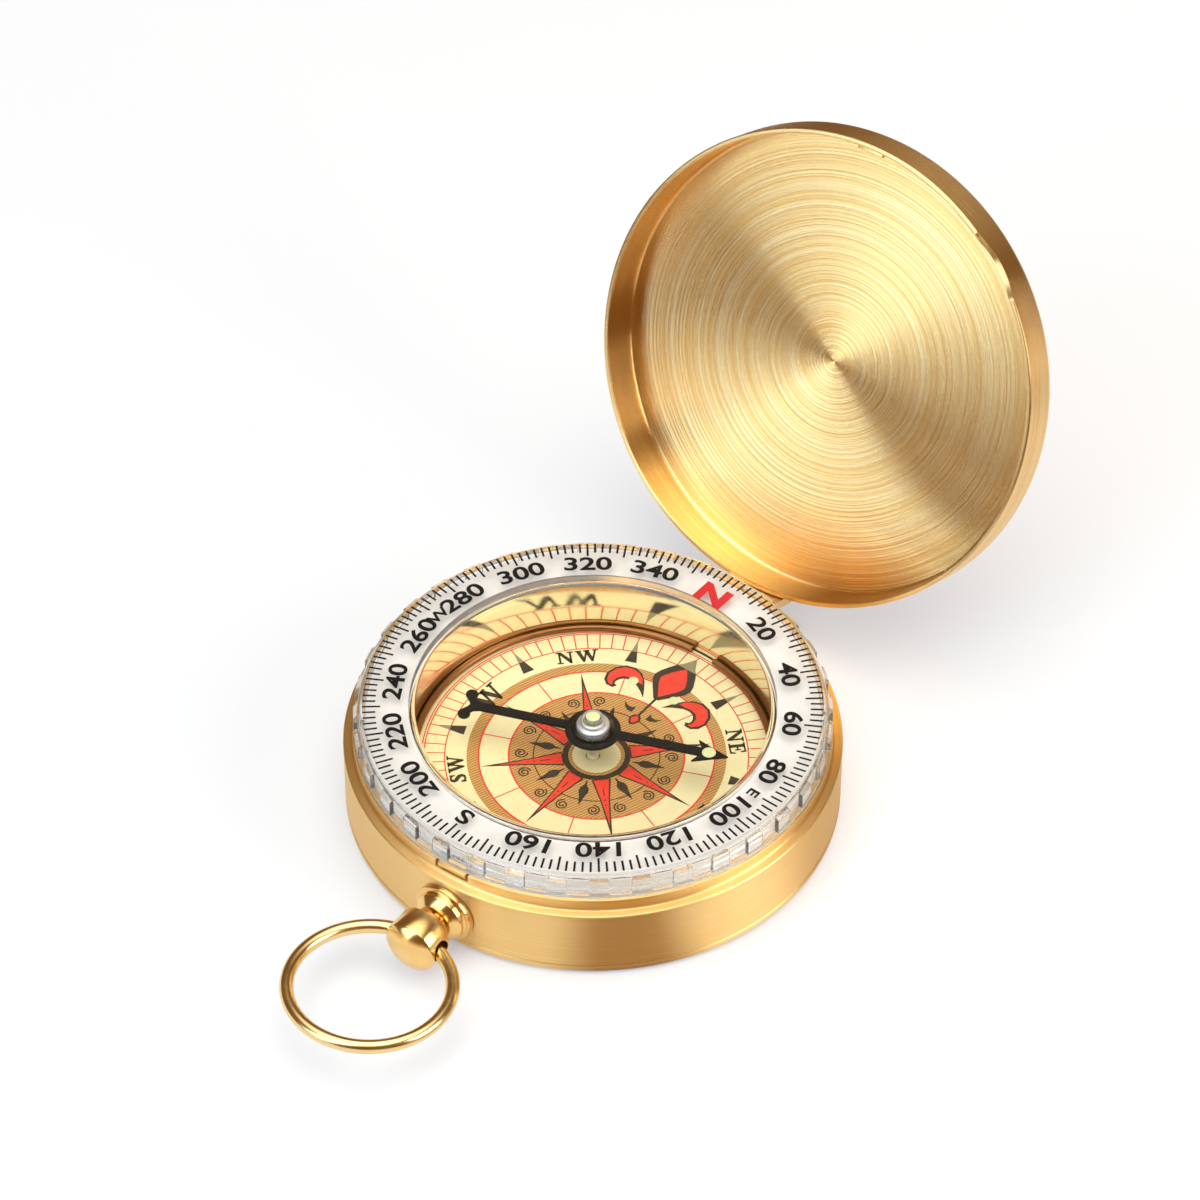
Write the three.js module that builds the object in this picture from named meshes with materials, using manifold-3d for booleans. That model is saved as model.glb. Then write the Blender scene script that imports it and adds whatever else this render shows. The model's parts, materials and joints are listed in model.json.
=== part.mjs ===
// A brass pocket hiking compass with a hinged lid, a turning clear bezel and a push crown with a bow ring.
// Millimetres, +Z up. The origin is the centre of the base, the hinge is at +Y and the crown at -Y.
// The lid stands open. All lid pieces are drawn shut and then swung open about the hinge pin.
import * as THREE from 'three';
import { mergeVertices } from 'three/addons/utils/BufferGeometryUtils.js';
import Module from 'manifold-3d';

const wasm = await Module();
wasm.setup();

// Facets of a full turn
const LARGE_ROUND = 72;
const SMALL_ROUND = 24;

// Case
const CASE_RADIUS = 25;
const CASE_EDGE = 0.45;
const CASE_FLOOR = 1.2;
const LEDGE_HEIGHT = 8.1;
const RIM_HEIGHT = 1.3;
const RIM_INSET = 1;
const RIM_COVE = 0.3;
const RIM_WALL = 0.8;
const GROOVE_HEIGHT = 1.1;
const GROOVE_WIDTH = 0.3;
const GROOVE_DEPTH = 0.15;

// Lid
const LID_WALL = 0.55;
const LID_EDGE = 1.4;
const LID_FILLET = 0.4;
const LID_SEAT_GAP = 0.15;
const LID_HEADROOM = 0.45;
const LID_OPEN_DEGREES = 112.6;
const THUMB_NOTCH_DEGREES = -48;
const THUMB_NOTCH_RADIUS = 10;
const THUMB_NOTCH_HEIGHT = 0.7;
const EDGE_STEPS = 4;

// Hinge
const KNUCKLE_RADIUS = 0.95;
const KNUCKLE_WALL_GAP = 0.15;
const KNUCKLE_END_GAP = 0.2;
const LID_KNUCKLE_LENGTH = 6.8;
const CASE_KNUCKLE_LENGTH = 3.2;
const HINGE_DROP = 2.8;
const HINGE_PIN_RADIUS = 0.4;
const HINGE_PIN_CLEARANCE = 0.15;
const HINGE_PIN_END = 0.2;
const LEAF_THICKNESS = 0.7;
const LEAF_SEAT_GAP = 0.15;
const LID_LEAF_RISE = 2.2;
const CASE_LEAF_DROP = 2.6;
const STOP_HEEL_WIDTH = 0.9;
const STOP_HEEL_GAP = 0.08;

// Bezel
const BEZEL_LID_CLEARANCE = 0.55;
const BEZEL_RUN_GAP = 0.15;
const BEZEL_HEIGHT = 2.85;
const BEZEL_FACE = 5.6;
const BEZEL_PLATE = 0.9;
const BEZEL_SKIRT = 1;
const BEZEL_CHAMFER = 0.9;
const BEZEL_SHOULDER = 0.7;
const BEZEL_BEAD = 0.6;
const BEZEL_BEAD_HEIGHT = 0.5;
const BEZEL_TURN_DEGREES = 3.5;
const NOTCH_COUNT = 36;
const NOTCH_WIDTH = 2.2;
const NOTCH_DEPTH = 0.45;
const NOTCH_SILL = 0.55;
const RUNNING_CLEARANCE = 0.3;

// Luminous ring and the carrier ring beneath it
const LUME_THICKNESS = 0.25;
const LUME_CLEARANCE = 0.25;
const CARRIER_CLEARANCE = 0.2;
const CARRIER_STEP_GAP = 0.1;

// Capsule, crystal and dial
const CAPSULE_OVERHANG = 0.1;
const CAPSULE_WALL = 0.6;
const CAPSULE_WEB = 0.8;
const CAPSULE_CLEARANCE = 0.15;
const CRYSTAL_SINK = 0.3;
const CRYSTAL_FLANGE = 0.35;
const CRYSTAL_FLANGE_GAP = 0.05;
const CRYSTAL_CLEARANCE = 0.2;
const CRYSTAL_BEVEL_WIDTH = 0.35;
const CRYSTAL_BEVEL_HEIGHT = 0.3;
const DIAL_DEPTH = 6.4;
const DIAL_THICKNESS = 0.2;
const DIAL_CLEARANCE = 0.2;
const SNAP_RING_WIRE = 0.7;
const SNAP_RING_CLEARANCE = 0.1;
const SNAP_RING_GAP_DEGREES = 9;
const SNAP_RING_GAP_BEARING = 4;
const DIAL_DOT_RADIUS = 0.55;
const DIAL_DOT_HEIGHT = 0.15;
const DIAL_DOT_SPREAD = 2.5;
const DIAL_DOT_SHIFT = -0.2;
const DIAL_DOT_INSET = 7.2;

// Needle and its pivot
const NEEDLE_BEARING = 71;
const NEEDLE_THICKNESS = 0.3;
const NEEDLE_TIP_GAP = 3.6;
const NEEDLE_TAIL_GAP = 3.9;
const NEEDLE_ARM_WIDTH = 1.05;
const NEEDLE_HEAD_LENGTH = 2.9;
const NEEDLE_HEAD_WIDTH = 3;
const NEEDLE_BARB = 0.6;
const NEEDLE_FORK_LENGTH = 1.5;
const NEEDLE_FORK_SPREAD = 4;
const NEEDLE_FORK_WIDTH = 1.25;
const NEEDLE_RING_RADIUS = 2.8;
const NEEDLE_HOLE_RADIUS = 1.3;
const NEEDLE_DOT_RADIUS = 0.7;
const NEEDLE_DOT_HEIGHT = 0.12;
const NEEDLE_DOT_BACK = 2;
const HUB_RADIUS = 2.15;
const HUB_FLANGE = 0.45;
const HUB_HEIGHT = 1.75;
const HUB_BUTTON_RADIUS = 1.05;
const HUB_BUTTON_HEIGHT = 0.6;
const HUB_HEADROOM = 0.75;
const HUB_ROOF = 0.4;
const HUB_DOT_RADIUS = 0.7;
const HUB_DOT_HEIGHT = 0.1;
const JEWEL_RADIUS = 0.7;
const JEWEL_HEIGHT = 0.7;
const JEWEL_CLEARANCE = 0.1;
const JEWEL_CUP_DEPTH = 0.4;
const JEWEL_CUP_RADIUS = 0.45;
const PIVOT_RADIUS = 0.3;
const PIVOT_TIP_RADIUS = 0.06;
const PIVOT_TIP_LENGTH = 0.8;
const PIVOT_TIP_GAP = 0.08;
const PIVOT_BASE_RADIUS = 0.6;
const PIVOT_BASE_PROUD = 0.3;
const PIVOT_BASE_CLEARANCE = 0.1;

// Crown, its latch and the bow ring
const CROWN_DROP = 3.8;
const CROWN_TRAVEL = 0.5;
const CROWN_STOP_GAP = 0.1;
const NECK_FLANGE_RADIUS = 3.2;
const NECK_FLANGE_LENGTH = 0.6;
const NECK_DRUM_RADIUS = 2.7;
const NECK_DRUM_LENGTH = 0.6;
const NECK_END_RADIUS = 1.9;
const NECK_CONE_LENGTH = 0.8;
const NECK_SEAT_GAP = 0.1;
const CROWN_COLLAR_RADIUS = 2.15;
const CROWN_COLLAR_LENGTH = 0.4;
const CROWN_SHOULDER = 0.3;
const CROWN_HEAD_RADIUS = 2.85;
const CROWN_HEAD_LENGTH = 2.7;
const CROWN_DOME = 1.1;
const STEM_RADIUS = 0.9;
const STEM_CLEARANCE = 0.25;
const LATCH_WIDTH = 3.3;
const LATCH_THICKNESS = 0.5;
const LATCH_WALL_GAP = 0.25;
const LATCH_FOOT = 1.7;
const LATCH_NOSE_HEIGHT = 0.5;
const LATCH_NOSE_INSET = 0.05;
const LATCH_SLOT_CLEARANCE = 0.3;
const LATCH_TOP_GAP = 0.1;
const CATCH_WIDTH = 3;
const CATCH_HEIGHT = 0.5;
const CATCH_RISE = 0.1;
const CATCH_CLEARANCE = 0.08;
const CATCH_SEAT_GAP = 0.1;
const SPRING_WIRE = 0.35;
const SPRING_RADIUS = 1.3;
const SPRING_TURNS = 3;
const SPRING_STEPS = 10;
const SPRING_SIDES = 6;
const SPRING_END_GAP = 0.05;
const POCKET_WALL = 0.5;
const POCKET_CLEARANCE = 0.4;
const BOW_RADIUS = 8;
const BOW_WIRE = 1.4;
const BOW_SIDES = 12;
const BOW_CLEARANCE = 0.15;
const BOW_LIFT_DEGREES = 2.6;

// Heights and radii that follow from the sizes above
const rimRadius = CASE_RADIUS - RIM_INSET;
const caseBore = rimRadius - RIM_WALL;
const rimTop = LEDGE_HEIGHT + RIM_HEIGHT;
const lidBore = CASE_RADIUS - LID_WALL;
const lidMouth = LEDGE_HEIGHT + LID_SEAT_GAP;
const bezelRadius = lidBore - BEZEL_LID_CLEARANCE;
const bezelBottom = rimTop + BEZEL_RUN_GAP;
const bezelTop = bezelBottom + BEZEL_HEIGHT;
const bezelBore = bezelRadius - BEZEL_FACE;
const bezelUnderside = bezelTop - BEZEL_PLATE;
const skirtBore = bezelRadius - BEZEL_SKIRT;
const beadRadius = skirtBore - BEZEL_BEAD;
const lumeBottom = bezelUnderside - LUME_CLEARANCE - LUME_THICKNESS;
const lumeRadius = skirtBore - RUNNING_CLEARANCE;
const carrierRadius = caseBore - CARRIER_CLEARANCE;
const carrierStep = rimTop - CARRIER_STEP_GAP;
const capsuleBore = bezelBore + CAPSULE_OVERHANG;
const capsuleRadius = capsuleBore + CAPSULE_WALL;
const carrierBore = capsuleRadius + CAPSULE_CLEARANCE;
const crystalTop = bezelTop - CRYSTAL_SINK;
const crystalFlangeTop = lumeBottom - CRYSTAL_FLANGE_GAP;
const crystalUnderside = crystalFlangeTop - CRYSTAL_FLANGE;
const crystalRadius = bezelBore - CRYSTAL_CLEARANCE;
const dialTop = crystalUnderside - DIAL_DEPTH;
const dialBottom = dialTop - DIAL_THICKNESS;
const dialRadius = capsuleBore - DIAL_CLEARANCE;
const snapRingMean = capsuleBore - SNAP_RING_CLEARANCE - SNAP_RING_WIRE / 2;
const snapRingBore = snapRingMean - SNAP_RING_WIRE / 2;
const lidCeiling = bezelTop + LID_HEADROOM;
const lidTop = lidCeiling + LID_WALL;
const hingeY = CASE_RADIUS + KNUCKLE_RADIUS + KNUCKLE_WALL_GAP;
const hingeZ = LEDGE_HEIGHT - HINGE_DROP;
const hubTop = crystalUnderside - HUB_HEADROOM - HUB_DOT_HEIGHT;
const needleTop = hubTop - HUB_HEIGHT;
const needleBottom = needleTop - NEEDLE_THICKNESS;
const jewelTop = hubTop - HUB_ROOF;
const jewelCupTop = jewelTop - JEWEL_HEIGHT + JEWEL_CUP_DEPTH;
const crownZ = LEDGE_HEIGHT - CROWN_DROP;
const neckEnd = CASE_RADIUS + NECK_FLANGE_LENGTH + NECK_DRUM_LENGTH + NECK_CONE_LENGTH;
const crownStart = neckEnd + CROWN_TRAVEL + CROWN_STOP_GAP;
const crownHeadStart = crownStart + CROWN_COLLAR_LENGTH + CROWN_SHOULDER;
const crownHeadEnd = crownHeadStart + CROWN_HEAD_LENGTH;
const crossHoleY = (crownHeadStart + crownHeadEnd) / 2;
const bowSag = BOW_RADIUS - Math.sqrt(BOW_RADIUS ** 2 - CROWN_HEAD_RADIUS ** 2);
const crossHoleRadius = BOW_WIRE / 2 + bowSag / 2 + BOW_CLEARANCE;
const latchFace = caseBore - LATCH_WALL_GAP;
const latchBack = latchFace - LATCH_THICKNESS;
const latchTop = rimTop - LATCH_TOP_GAP;
const pocketFloor = carrierBore + POCKET_WALL;

// Finishes
const finish = (color, roughness, metalness, opacity = 1) =>
  new THREE.MeshStandardMaterial({ color, roughness, metalness, opacity, transparent: opacity < 1 });
const satinBrass = () => finish(0xd9b26a, 0.35, 1);
const polishedBrass = () => finish(0xe0b865, 0.15, 1);
const steel = () => finish(0xc9cbcf, 0.25, 1);
const clearPlastic = () => finish(0xf4f6f4, 0.08, 0, 0.3);
const whitePlastic = () => finish(0xeeeae2, 0.5, 0);
const lumePaint = () => finish(0xd8e8a8, 0.6, 0);
const creamCard = () => finish(0xf3e3a4, 0.7, 0);
const blackPaint = () => finish(0x101010, 0.4, 0);
const bronzeWire = () => finish(0x8a5a2c, 0.3, 1);

// Shared vertices are merged and faces that have shrunk to a line at the axis are dropped.
function weld(geometry) {
  const bare = new THREE.BufferGeometry();
  bare.setAttribute('position', geometry.getAttribute('position'));
  bare.setIndex(geometry.getIndex());
  const merged = mergeVertices(bare, 1e-4);
  const corners = merged.getIndex().array;
  const kept = [];
  for (let i = 0; i < corners.length; i += 3) {
    const [a, b, c] = corners.slice(i, i + 3);
    if (a !== b && b !== c && c !== a) kept.push(a, b, c);
  }
  merged.setIndex(kept);
  return merged;
}

function toSolid(geometry) {
  const welded = weld(geometry);
  const vertProperties = new Float32Array(welded.getAttribute('position').array);
  const triVerts = new Uint32Array(welded.getIndex().array);
  return new wasm.Manifold(new wasm.Mesh({ numProp: 3, vertProperties, triVerts }));
}

function toGeometry(solid) {
  const mesh = solid.getMesh();
  const geometry = new THREE.BufferGeometry();
  geometry.setAttribute('position', new THREE.BufferAttribute(mesh.vertProperties, 3));
  geometry.setIndex(new THREE.BufferAttribute(mesh.triVerts, 1));
  return geometry;
}

function join(first, ...others) {
  return toGeometry(others.reduce((sum, other) => sum.add(toSolid(other)), toSolid(first)));
}

function cut(body, ...tools) {
  return toGeometry(tools.reduce((rest, tool) => rest.subtract(toSolid(tool)), toSolid(body)));
}

// A profile of [radius, height] points, counter-clockwise in the radius and height plane, turned about Z.
function turned(profile, rounds = LARGE_ROUND, start = 0, sweep = 2 * Math.PI) {
  const points = profile.map(([radius, height]) => new THREE.Vector2(radius, height));
  const geometry = new THREE.LatheGeometry(points, rounds, start, sweep);
  return geometry.rotateX(Math.PI / 2);
}

// A ring of rectangular section turned about Z.
function ring(inner, outer, low, high, rounds = LARGE_ROUND) {
  return turned([[inner, low], [outer, low], [outer, high], [inner, high], [inner, low]], rounds);
}

// A disc turned about Z.
function disc(radius, low, high, rounds = SMALL_ROUND) {
  return turned([[0, low], [radius, low], [radius, high], [0, high]], rounds);
}

// A turned shape laid along -Y at the crown's height. Profile heights become distances from the axis.
function alongCrown(geometry) {
  return geometry.rotateX(Math.PI / 2).translate(0, 0, crownZ);
}

function box(low, high) {
  const size = low.map((value, i) => high[i] - value);
  const middle = low.map((value, i) => (high[i] + value) / 2);
  return new THREE.BoxGeometry(...size).translate(...middle);
}

// A round bar along X, centred on the hinge line unless another middle is given.
function barAlongX(radius, length, x = 0, y = hingeY, z = hingeZ, rounds = SMALL_ROUND) {
  const bar = new THREE.CylinderGeometry(radius, radius, length, rounds).rotateZ(Math.PI / 2);
  return bar.translate(x, y, z);
}

// Points of a quarter round, from one angle to another, in the radius and height plane.
function roundEdge(centreRadius, centreHeight, radius, from, to, steps = EDGE_STEPS) {
  const points = [];
  for (let i = 0; i <= steps; i += 1) {
    const angle = THREE.MathUtils.degToRad(from + ((to - from) * i) / steps);
    points.push([centreRadius + radius * Math.cos(angle), centreHeight + radius * Math.sin(angle)]);
  }
  return points;
}

const bearingToAngle = (bearing) => THREE.MathUtils.degToRad(90 - bearing);

const compass = new THREE.Group();
const lid = new THREE.Group();
lid.position.set(0, hingeY, hingeZ);
lid.rotation.x = -THREE.MathUtils.degToRad(LID_OPEN_DEGREES);
compass.add(lid);

function place(name, geometry, material, group = compass) {
  const mesh = new THREE.Mesh(geometry, material);
  mesh.name = name;
  group.add(mesh);
  return mesh;
}

// Lid pieces are drawn shut in the compass's frame and hung on the hinge line.
function placeOnLid(name, geometry, material) {
  return place(name, geometry.translate(0, -hingeY, -hingeZ), material, lid);
}

// The case is a turned cup with an eased base, a scribed groove, a ledge for the lid and a coved rim.
function caseShell() {
  const cup = turned([
    [0, 0],
    [CASE_RADIUS - CASE_EDGE, 0],
    [CASE_RADIUS, CASE_EDGE],
    [CASE_RADIUS, GROOVE_HEIGHT - GROOVE_WIDTH / 2],
    [CASE_RADIUS - GROOVE_DEPTH, GROOVE_HEIGHT],
    [CASE_RADIUS, GROOVE_HEIGHT + GROOVE_WIDTH / 2],
    [CASE_RADIUS, LEDGE_HEIGHT],
    [rimRadius + RIM_COVE, LEDGE_HEIGHT],
    [rimRadius, LEDGE_HEIGHT + RIM_COVE],
    [rimRadius, rimTop],
    [caseBore, rimTop],
    [caseBore, CASE_FLOOR],
    [0, CASE_FLOOR],
  ]);
  const stemBore = disc(STEM_RADIUS + STEM_CLEARANCE, caseBore - RIM_WALL, CASE_RADIUS + RIM_WALL);
  const slotHalf = LATCH_WIDTH / 2 + LATCH_SLOT_CLEARANCE;
  const slotLow = latchTop - LATCH_NOSE_HEIGHT - LATCH_SLOT_CLEARANCE;
  const latchSlot = box(
    [-slotHalf, -CASE_RADIUS, slotLow],
    [slotHalf, -(caseBore - RIM_WALL), rimTop + RIM_HEIGHT],
  );
  return cut(cup, alongCrown(stemBore), latchSlot);
}

// The carrier ring fills the case round the capsule, holds the luminous ring up and keeps the bezel on:
// the bezel's bead runs in its groove. A pocket at the front leaves room for the latch and its spring.
function carrierRing() {
  const grooveRadius = beadRadius - RUNNING_CLEARANCE;
  const grooveTop = bezelBottom + BEZEL_BEAD_HEIGHT + RUNNING_CLEARANCE;
  const body = turned([
    [carrierBore, CASE_FLOOR],
    [carrierRadius, CASE_FLOOR],
    [carrierRadius, carrierStep],
    [grooveRadius, carrierStep],
    [grooveRadius, grooveTop],
    [lumeRadius, grooveTop],
    [lumeRadius, lumeBottom],
    [carrierBore, lumeBottom],
    [carrierBore, CASE_FLOOR],
  ]);
  const half = Math.max(LATCH_WIDTH / 2, SPRING_RADIUS + SPRING_WIRE / 2) + POCKET_CLEARANCE;
  const springTop = crownZ + SPRING_RADIUS + SPRING_WIRE / 2 + POCKET_CLEARANCE;
  const low = crownZ - LATCH_FOOT - POCKET_CLEARANCE;
  const springPocket = box([-half, -CASE_RADIUS, low], [half, -pocketFloor, springTop]);
  const latchRun = latchBack - CROWN_TRAVEL - POCKET_CLEARANCE;
  const latchPocket = box([-half, -CASE_RADIUS, low], [half, -latchRun, carrierStep + RIM_HEIGHT]);
  const stepBand = ring(carrierBore, CASE_RADIUS, carrierStep, lumeBottom + RIM_HEIGHT);
  return cut(body, springPocket, cut(latchPocket, stepBand));
}

function luminousRing() {
  return ring(bezelBore, lumeRadius, lumeBottom, lumeBottom + LUME_THICKNESS);
}

// The capsule is a clear tube standing on the case floor, with a web that carries the dial.
function capsuleCup() {
  return turned([
    [0, dialBottom - CAPSULE_WEB],
    [capsuleBore, dialBottom - CAPSULE_WEB],
    [capsuleBore, CASE_FLOOR],
    [capsuleRadius, CASE_FLOOR],
    [capsuleRadius, crystalUnderside],
    [capsuleBore, crystalUnderside],
    [capsuleBore, dialBottom],
    [0, dialBottom],
  ]);
}

// The crystal's flange stands on the capsule and is trapped under the luminous ring.
function crystal() {
  return turned([
    [0, crystalUnderside],
    [capsuleRadius, crystalUnderside],
    [capsuleRadius, crystalFlangeTop],
    [crystalRadius, crystalFlangeTop],
    [crystalRadius, crystalTop - CRYSTAL_BEVEL_HEIGHT],
    [crystalRadius - CRYSTAL_BEVEL_WIDTH, crystalTop],
    [0, crystalTop],
  ]);
}

function dialCard() {
  return ring(PIVOT_BASE_RADIUS + PIVOT_BASE_CLEARANCE, dialRadius, dialBottom, dialTop);
}

// A split ring of round wire that holds the dial down.
function snapRing() {
  const wire = SNAP_RING_WIRE / 2;
  const gap = THREE.MathUtils.degToRad(SNAP_RING_GAP_DEGREES);
  const start = bearingToAngle(SNAP_RING_GAP_BEARING) + gap / 2;
  const sweep = 2 * Math.PI - gap;
  const arc = new THREE.Curve();
  arc.getPoint = (t) => {
    const angle = start + sweep * t;
    return new THREE.Vector3(snapRingMean * Math.cos(angle), snapRingMean * Math.sin(angle), 0);
  };
  const section = new THREE.Shape();
  section.absarc(0, 0, wire, 0, 2 * Math.PI);
  const steps = Math.round(LARGE_ROUND);
  const options = { steps, extrudePath: arc, curveSegments: 4, bevelEnabled: false };
  return weld(new THREE.ExtrudeGeometry(section, options)).translate(0, 0, dialTop + wire);
}

function pivotBase() {
  return disc(PIVOT_BASE_RADIUS, dialBottom, dialTop + PIVOT_BASE_PROUD);
}

function pivotPin() {
  const low = dialTop + PIVOT_BASE_PROUD;
  const tip = jewelCupTop - PIVOT_TIP_GAP;
  return turned([
    [0, low],
    [PIVOT_RADIUS, low],
    [PIVOT_RADIUS, tip - PIVOT_TIP_LENGTH],
    [PIVOT_TIP_RADIUS, tip],
    [0, tip],
  ], SMALL_ROUND);
}

// The needle is cut from sheet: an arrow one way, a forked tail the other and a ring at the hub.
function needle() {
  const tip = snapRingBore - NEEDLE_TIP_GAP;
  const tail = snapRingBore - NEEDLE_TAIL_GAP;
  const headBase = tip - NEEDLE_HEAD_LENGTH;
  const forkRoot = tail - NEEDLE_FORK_LENGTH;
  const arm = NEEDLE_ARM_WIDTH / 2;
  const prong = NEEDLE_FORK_WIDTH;
  const spread = NEEDLE_FORK_SPREAD / 2;
  const outline = new THREE.Shape([
    [tip, 0],
    [headBase - NEEDLE_BARB, NEEDLE_HEAD_WIDTH / 2],
    [headBase, arm],
    [-forkRoot, arm],
    [-(tail - prong / 2), spread],
    [-tail, spread - prong],
    [-(forkRoot + prong), 0],
    [-tail, prong - spread],
    [-(tail - prong / 2), -spread],
    [-forkRoot, -arm],
    [headBase, -arm],
    [headBase - NEEDLE_BARB, -NEEDLE_HEAD_WIDTH / 2],
  ].map(([x, y]) => new THREE.Vector2(x, y)));
  const options = { depth: NEEDLE_THICKNESS, bevelEnabled: false };
  const blade = new THREE.ExtrudeGeometry(outline, options).translate(0, 0, needleBottom);
  const hubRing = disc(NEEDLE_RING_RADIUS, needleBottom, needleTop);
  const hole = disc(NEEDLE_HOLE_RADIUS, needleBottom - NEEDLE_THICKNESS, needleTop + NEEDLE_THICKNESS);
  return cut(join(blade, hubRing), hole).rotateZ(bearingToAngle(NEEDLE_BEARING));
}

function needleDot() {
  const reach = snapRingBore - NEEDLE_TIP_GAP - NEEDLE_DOT_BACK;
  const dot = disc(NEEDLE_DOT_RADIUS, needleTop, needleTop + NEEDLE_DOT_HEIGHT);
  return dot.translate(reach, 0, 0).rotateZ(bearingToAngle(NEEDLE_BEARING));
}

// The hub cap stands on the needle's ring and holds the jewel in its bore.
function needleHub() {
  const bore = JEWEL_RADIUS + JEWEL_CLEARANCE;
  const buttonLow = hubTop - HUB_BUTTON_HEIGHT;
  return turned([
    [bore, needleTop],
    [HUB_RADIUS, needleTop],
    [HUB_RADIUS, needleTop + HUB_FLANGE],
    [HUB_BUTTON_RADIUS, buttonLow],
    [HUB_BUTTON_RADIUS, hubTop],
    [0, hubTop],
    [0, jewelTop],
    [bore, jewelTop],
    [bore, needleTop],
  ], SMALL_ROUND);
}

function jewelBearing() {
  const low = jewelTop - JEWEL_HEIGHT;
  return turned([
    [0, jewelCupTop],
    [JEWEL_CUP_RADIUS, low],
    [JEWEL_RADIUS, low],
    [JEWEL_RADIUS, jewelTop],
    [0, jewelTop],
  ], SMALL_ROUND);
}

// The bezel's face plate carries the scale. Its notched skirt hangs over the carrier and ends in a bead.
function bezelRing() {
  const chamferLow = bezelTop - BEZEL_SHOULDER;
  const blank = turned([
    [bezelBore, bezelUnderside],
    [skirtBore, bezelUnderside],
    [skirtBore, bezelBottom + BEZEL_BEAD_HEIGHT],
    [beadRadius, bezelBottom + BEZEL_BEAD_HEIGHT],
    [beadRadius, bezelBottom],
    [bezelRadius, bezelBottom],
    [bezelRadius, chamferLow],
    [bezelRadius - BEZEL_CHAMFER, bezelTop],
    [bezelBore, bezelTop],
    [bezelBore, bezelUnderside],
  ]);
  const notches = [];
  for (let i = 0; i < NOTCH_COUNT; i += 1) {
    const notch = box(
      [bezelRadius - NOTCH_DEPTH, -NOTCH_WIDTH / 2, bezelBottom + NOTCH_SILL],
      [bezelRadius + NOTCH_DEPTH, NOTCH_WIDTH / 2, bezelTop + NOTCH_DEPTH],
    );
    notches.push(notch.rotateZ(((i + 0.5) * 2 * Math.PI) / NOTCH_COUNT));
  }
  return cut(blank, ...notches).rotateZ(-THREE.MathUtils.degToRad(BEZEL_TURN_DEGREES));
}

// The lid is a shallow spun cup with a round outer edge and a thumb notch in its mouth.
function lidShell() {
  const cup = turned([
    [0, lidCeiling],
    ...roundEdge(lidBore - LID_FILLET, lidCeiling - LID_FILLET, LID_FILLET, 90, 0),
    [lidBore, lidMouth],
    [CASE_RADIUS, lidMouth],
    ...roundEdge(CASE_RADIUS - LID_EDGE, lidTop - LID_EDGE, LID_EDGE, 0, 90),
    [0, lidTop],
  ]);
  const scoop = new THREE.SphereGeometry(THUMB_NOTCH_RADIUS, SMALL_ROUND, SMALL_ROUND / 2);
  scoop.translate(CASE_RADIUS, 0, lidMouth + THUMB_NOTCH_HEIGHT - THUMB_NOTCH_RADIUS);
  return cut(cup, scoop.rotateZ(THREE.MathUtils.degToRad(THUMB_NOTCH_DEGREES)));
}

// A drum as wide as the case that shapes the seats of pieces soldered to its wall.
function wallDrum(gap) {
  return disc(CASE_RADIUS + gap, -LEDGE_HEIGHT, lidTop + LEDGE_HEIGHT, LARGE_ROUND);
}

function pinBore(length, x) {
  return barAlongX(HINGE_PIN_RADIUS + HINGE_PIN_CLEARANCE, length, x);
}

// The lid's leaf runs up from the middle knuckle over the lid's wall. Open, its heel meets the case wall.
function lidHingeLeaf() {
  const half = LID_KNUCKLE_LENGTH / 2;
  const outer = CASE_RADIUS + LEAF_SEAT_GAP + LEAF_THICKNESS;
  const knuckle = barAlongX(KNUCKLE_RADIUS, LID_KNUCKLE_LENGTH);
  const leaf = box([-half, CASE_RADIUS - LEAF_THICKNESS, hingeZ], [half, outer, lidMouth + LID_LEAF_RISE]);
  const reach = hingeY - CASE_RADIUS - STOP_HEEL_GAP;
  const heel = new THREE.BoxGeometry(LID_KNUCKLE_LENGTH, reach, STOP_HEEL_WIDTH);
  heel.translate(0, -reach / 2, 0).rotateX(THREE.MathUtils.degToRad(LID_OPEN_DEGREES));
  heel.translate(0, hingeY, hingeZ);
  const bore = pinBore(2 * LID_KNUCKLE_LENGTH, 0);
  return cut(join(cut(leaf, wallDrum(LEAF_SEAT_GAP)), knuckle, heel), bore);
}

// A case leaf runs down the wall from its knuckle.
function caseHinge(side) {
  const middle = side * (LID_KNUCKLE_LENGTH / 2 + KNUCKLE_END_GAP + CASE_KNUCKLE_LENGTH / 2);
  const half = CASE_KNUCKLE_LENGTH / 2;
  const outer = CASE_RADIUS + LEAF_SEAT_GAP + LEAF_THICKNESS;
  const inner = CASE_RADIUS - CASE_KNUCKLE_LENGTH;
  const knuckle = barAlongX(KNUCKLE_RADIUS, CASE_KNUCKLE_LENGTH, middle);
  const leaf = box([middle - half, inner, hingeZ - CASE_LEAF_DROP], [middle + half, outer, hingeZ]);
  const bore = pinBore(2 * CASE_KNUCKLE_LENGTH, middle);
  return cut(join(cut(leaf, wallDrum(LEAF_SEAT_GAP)), knuckle), bore);
}

function hingePin() {
  const knuckles = LID_KNUCKLE_LENGTH + 2 * (KNUCKLE_END_GAP + CASE_KNUCKLE_LENGTH);
  return barAlongX(HINGE_PIN_RADIUS, knuckles + 2 * HINGE_PIN_END);
}

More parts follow.
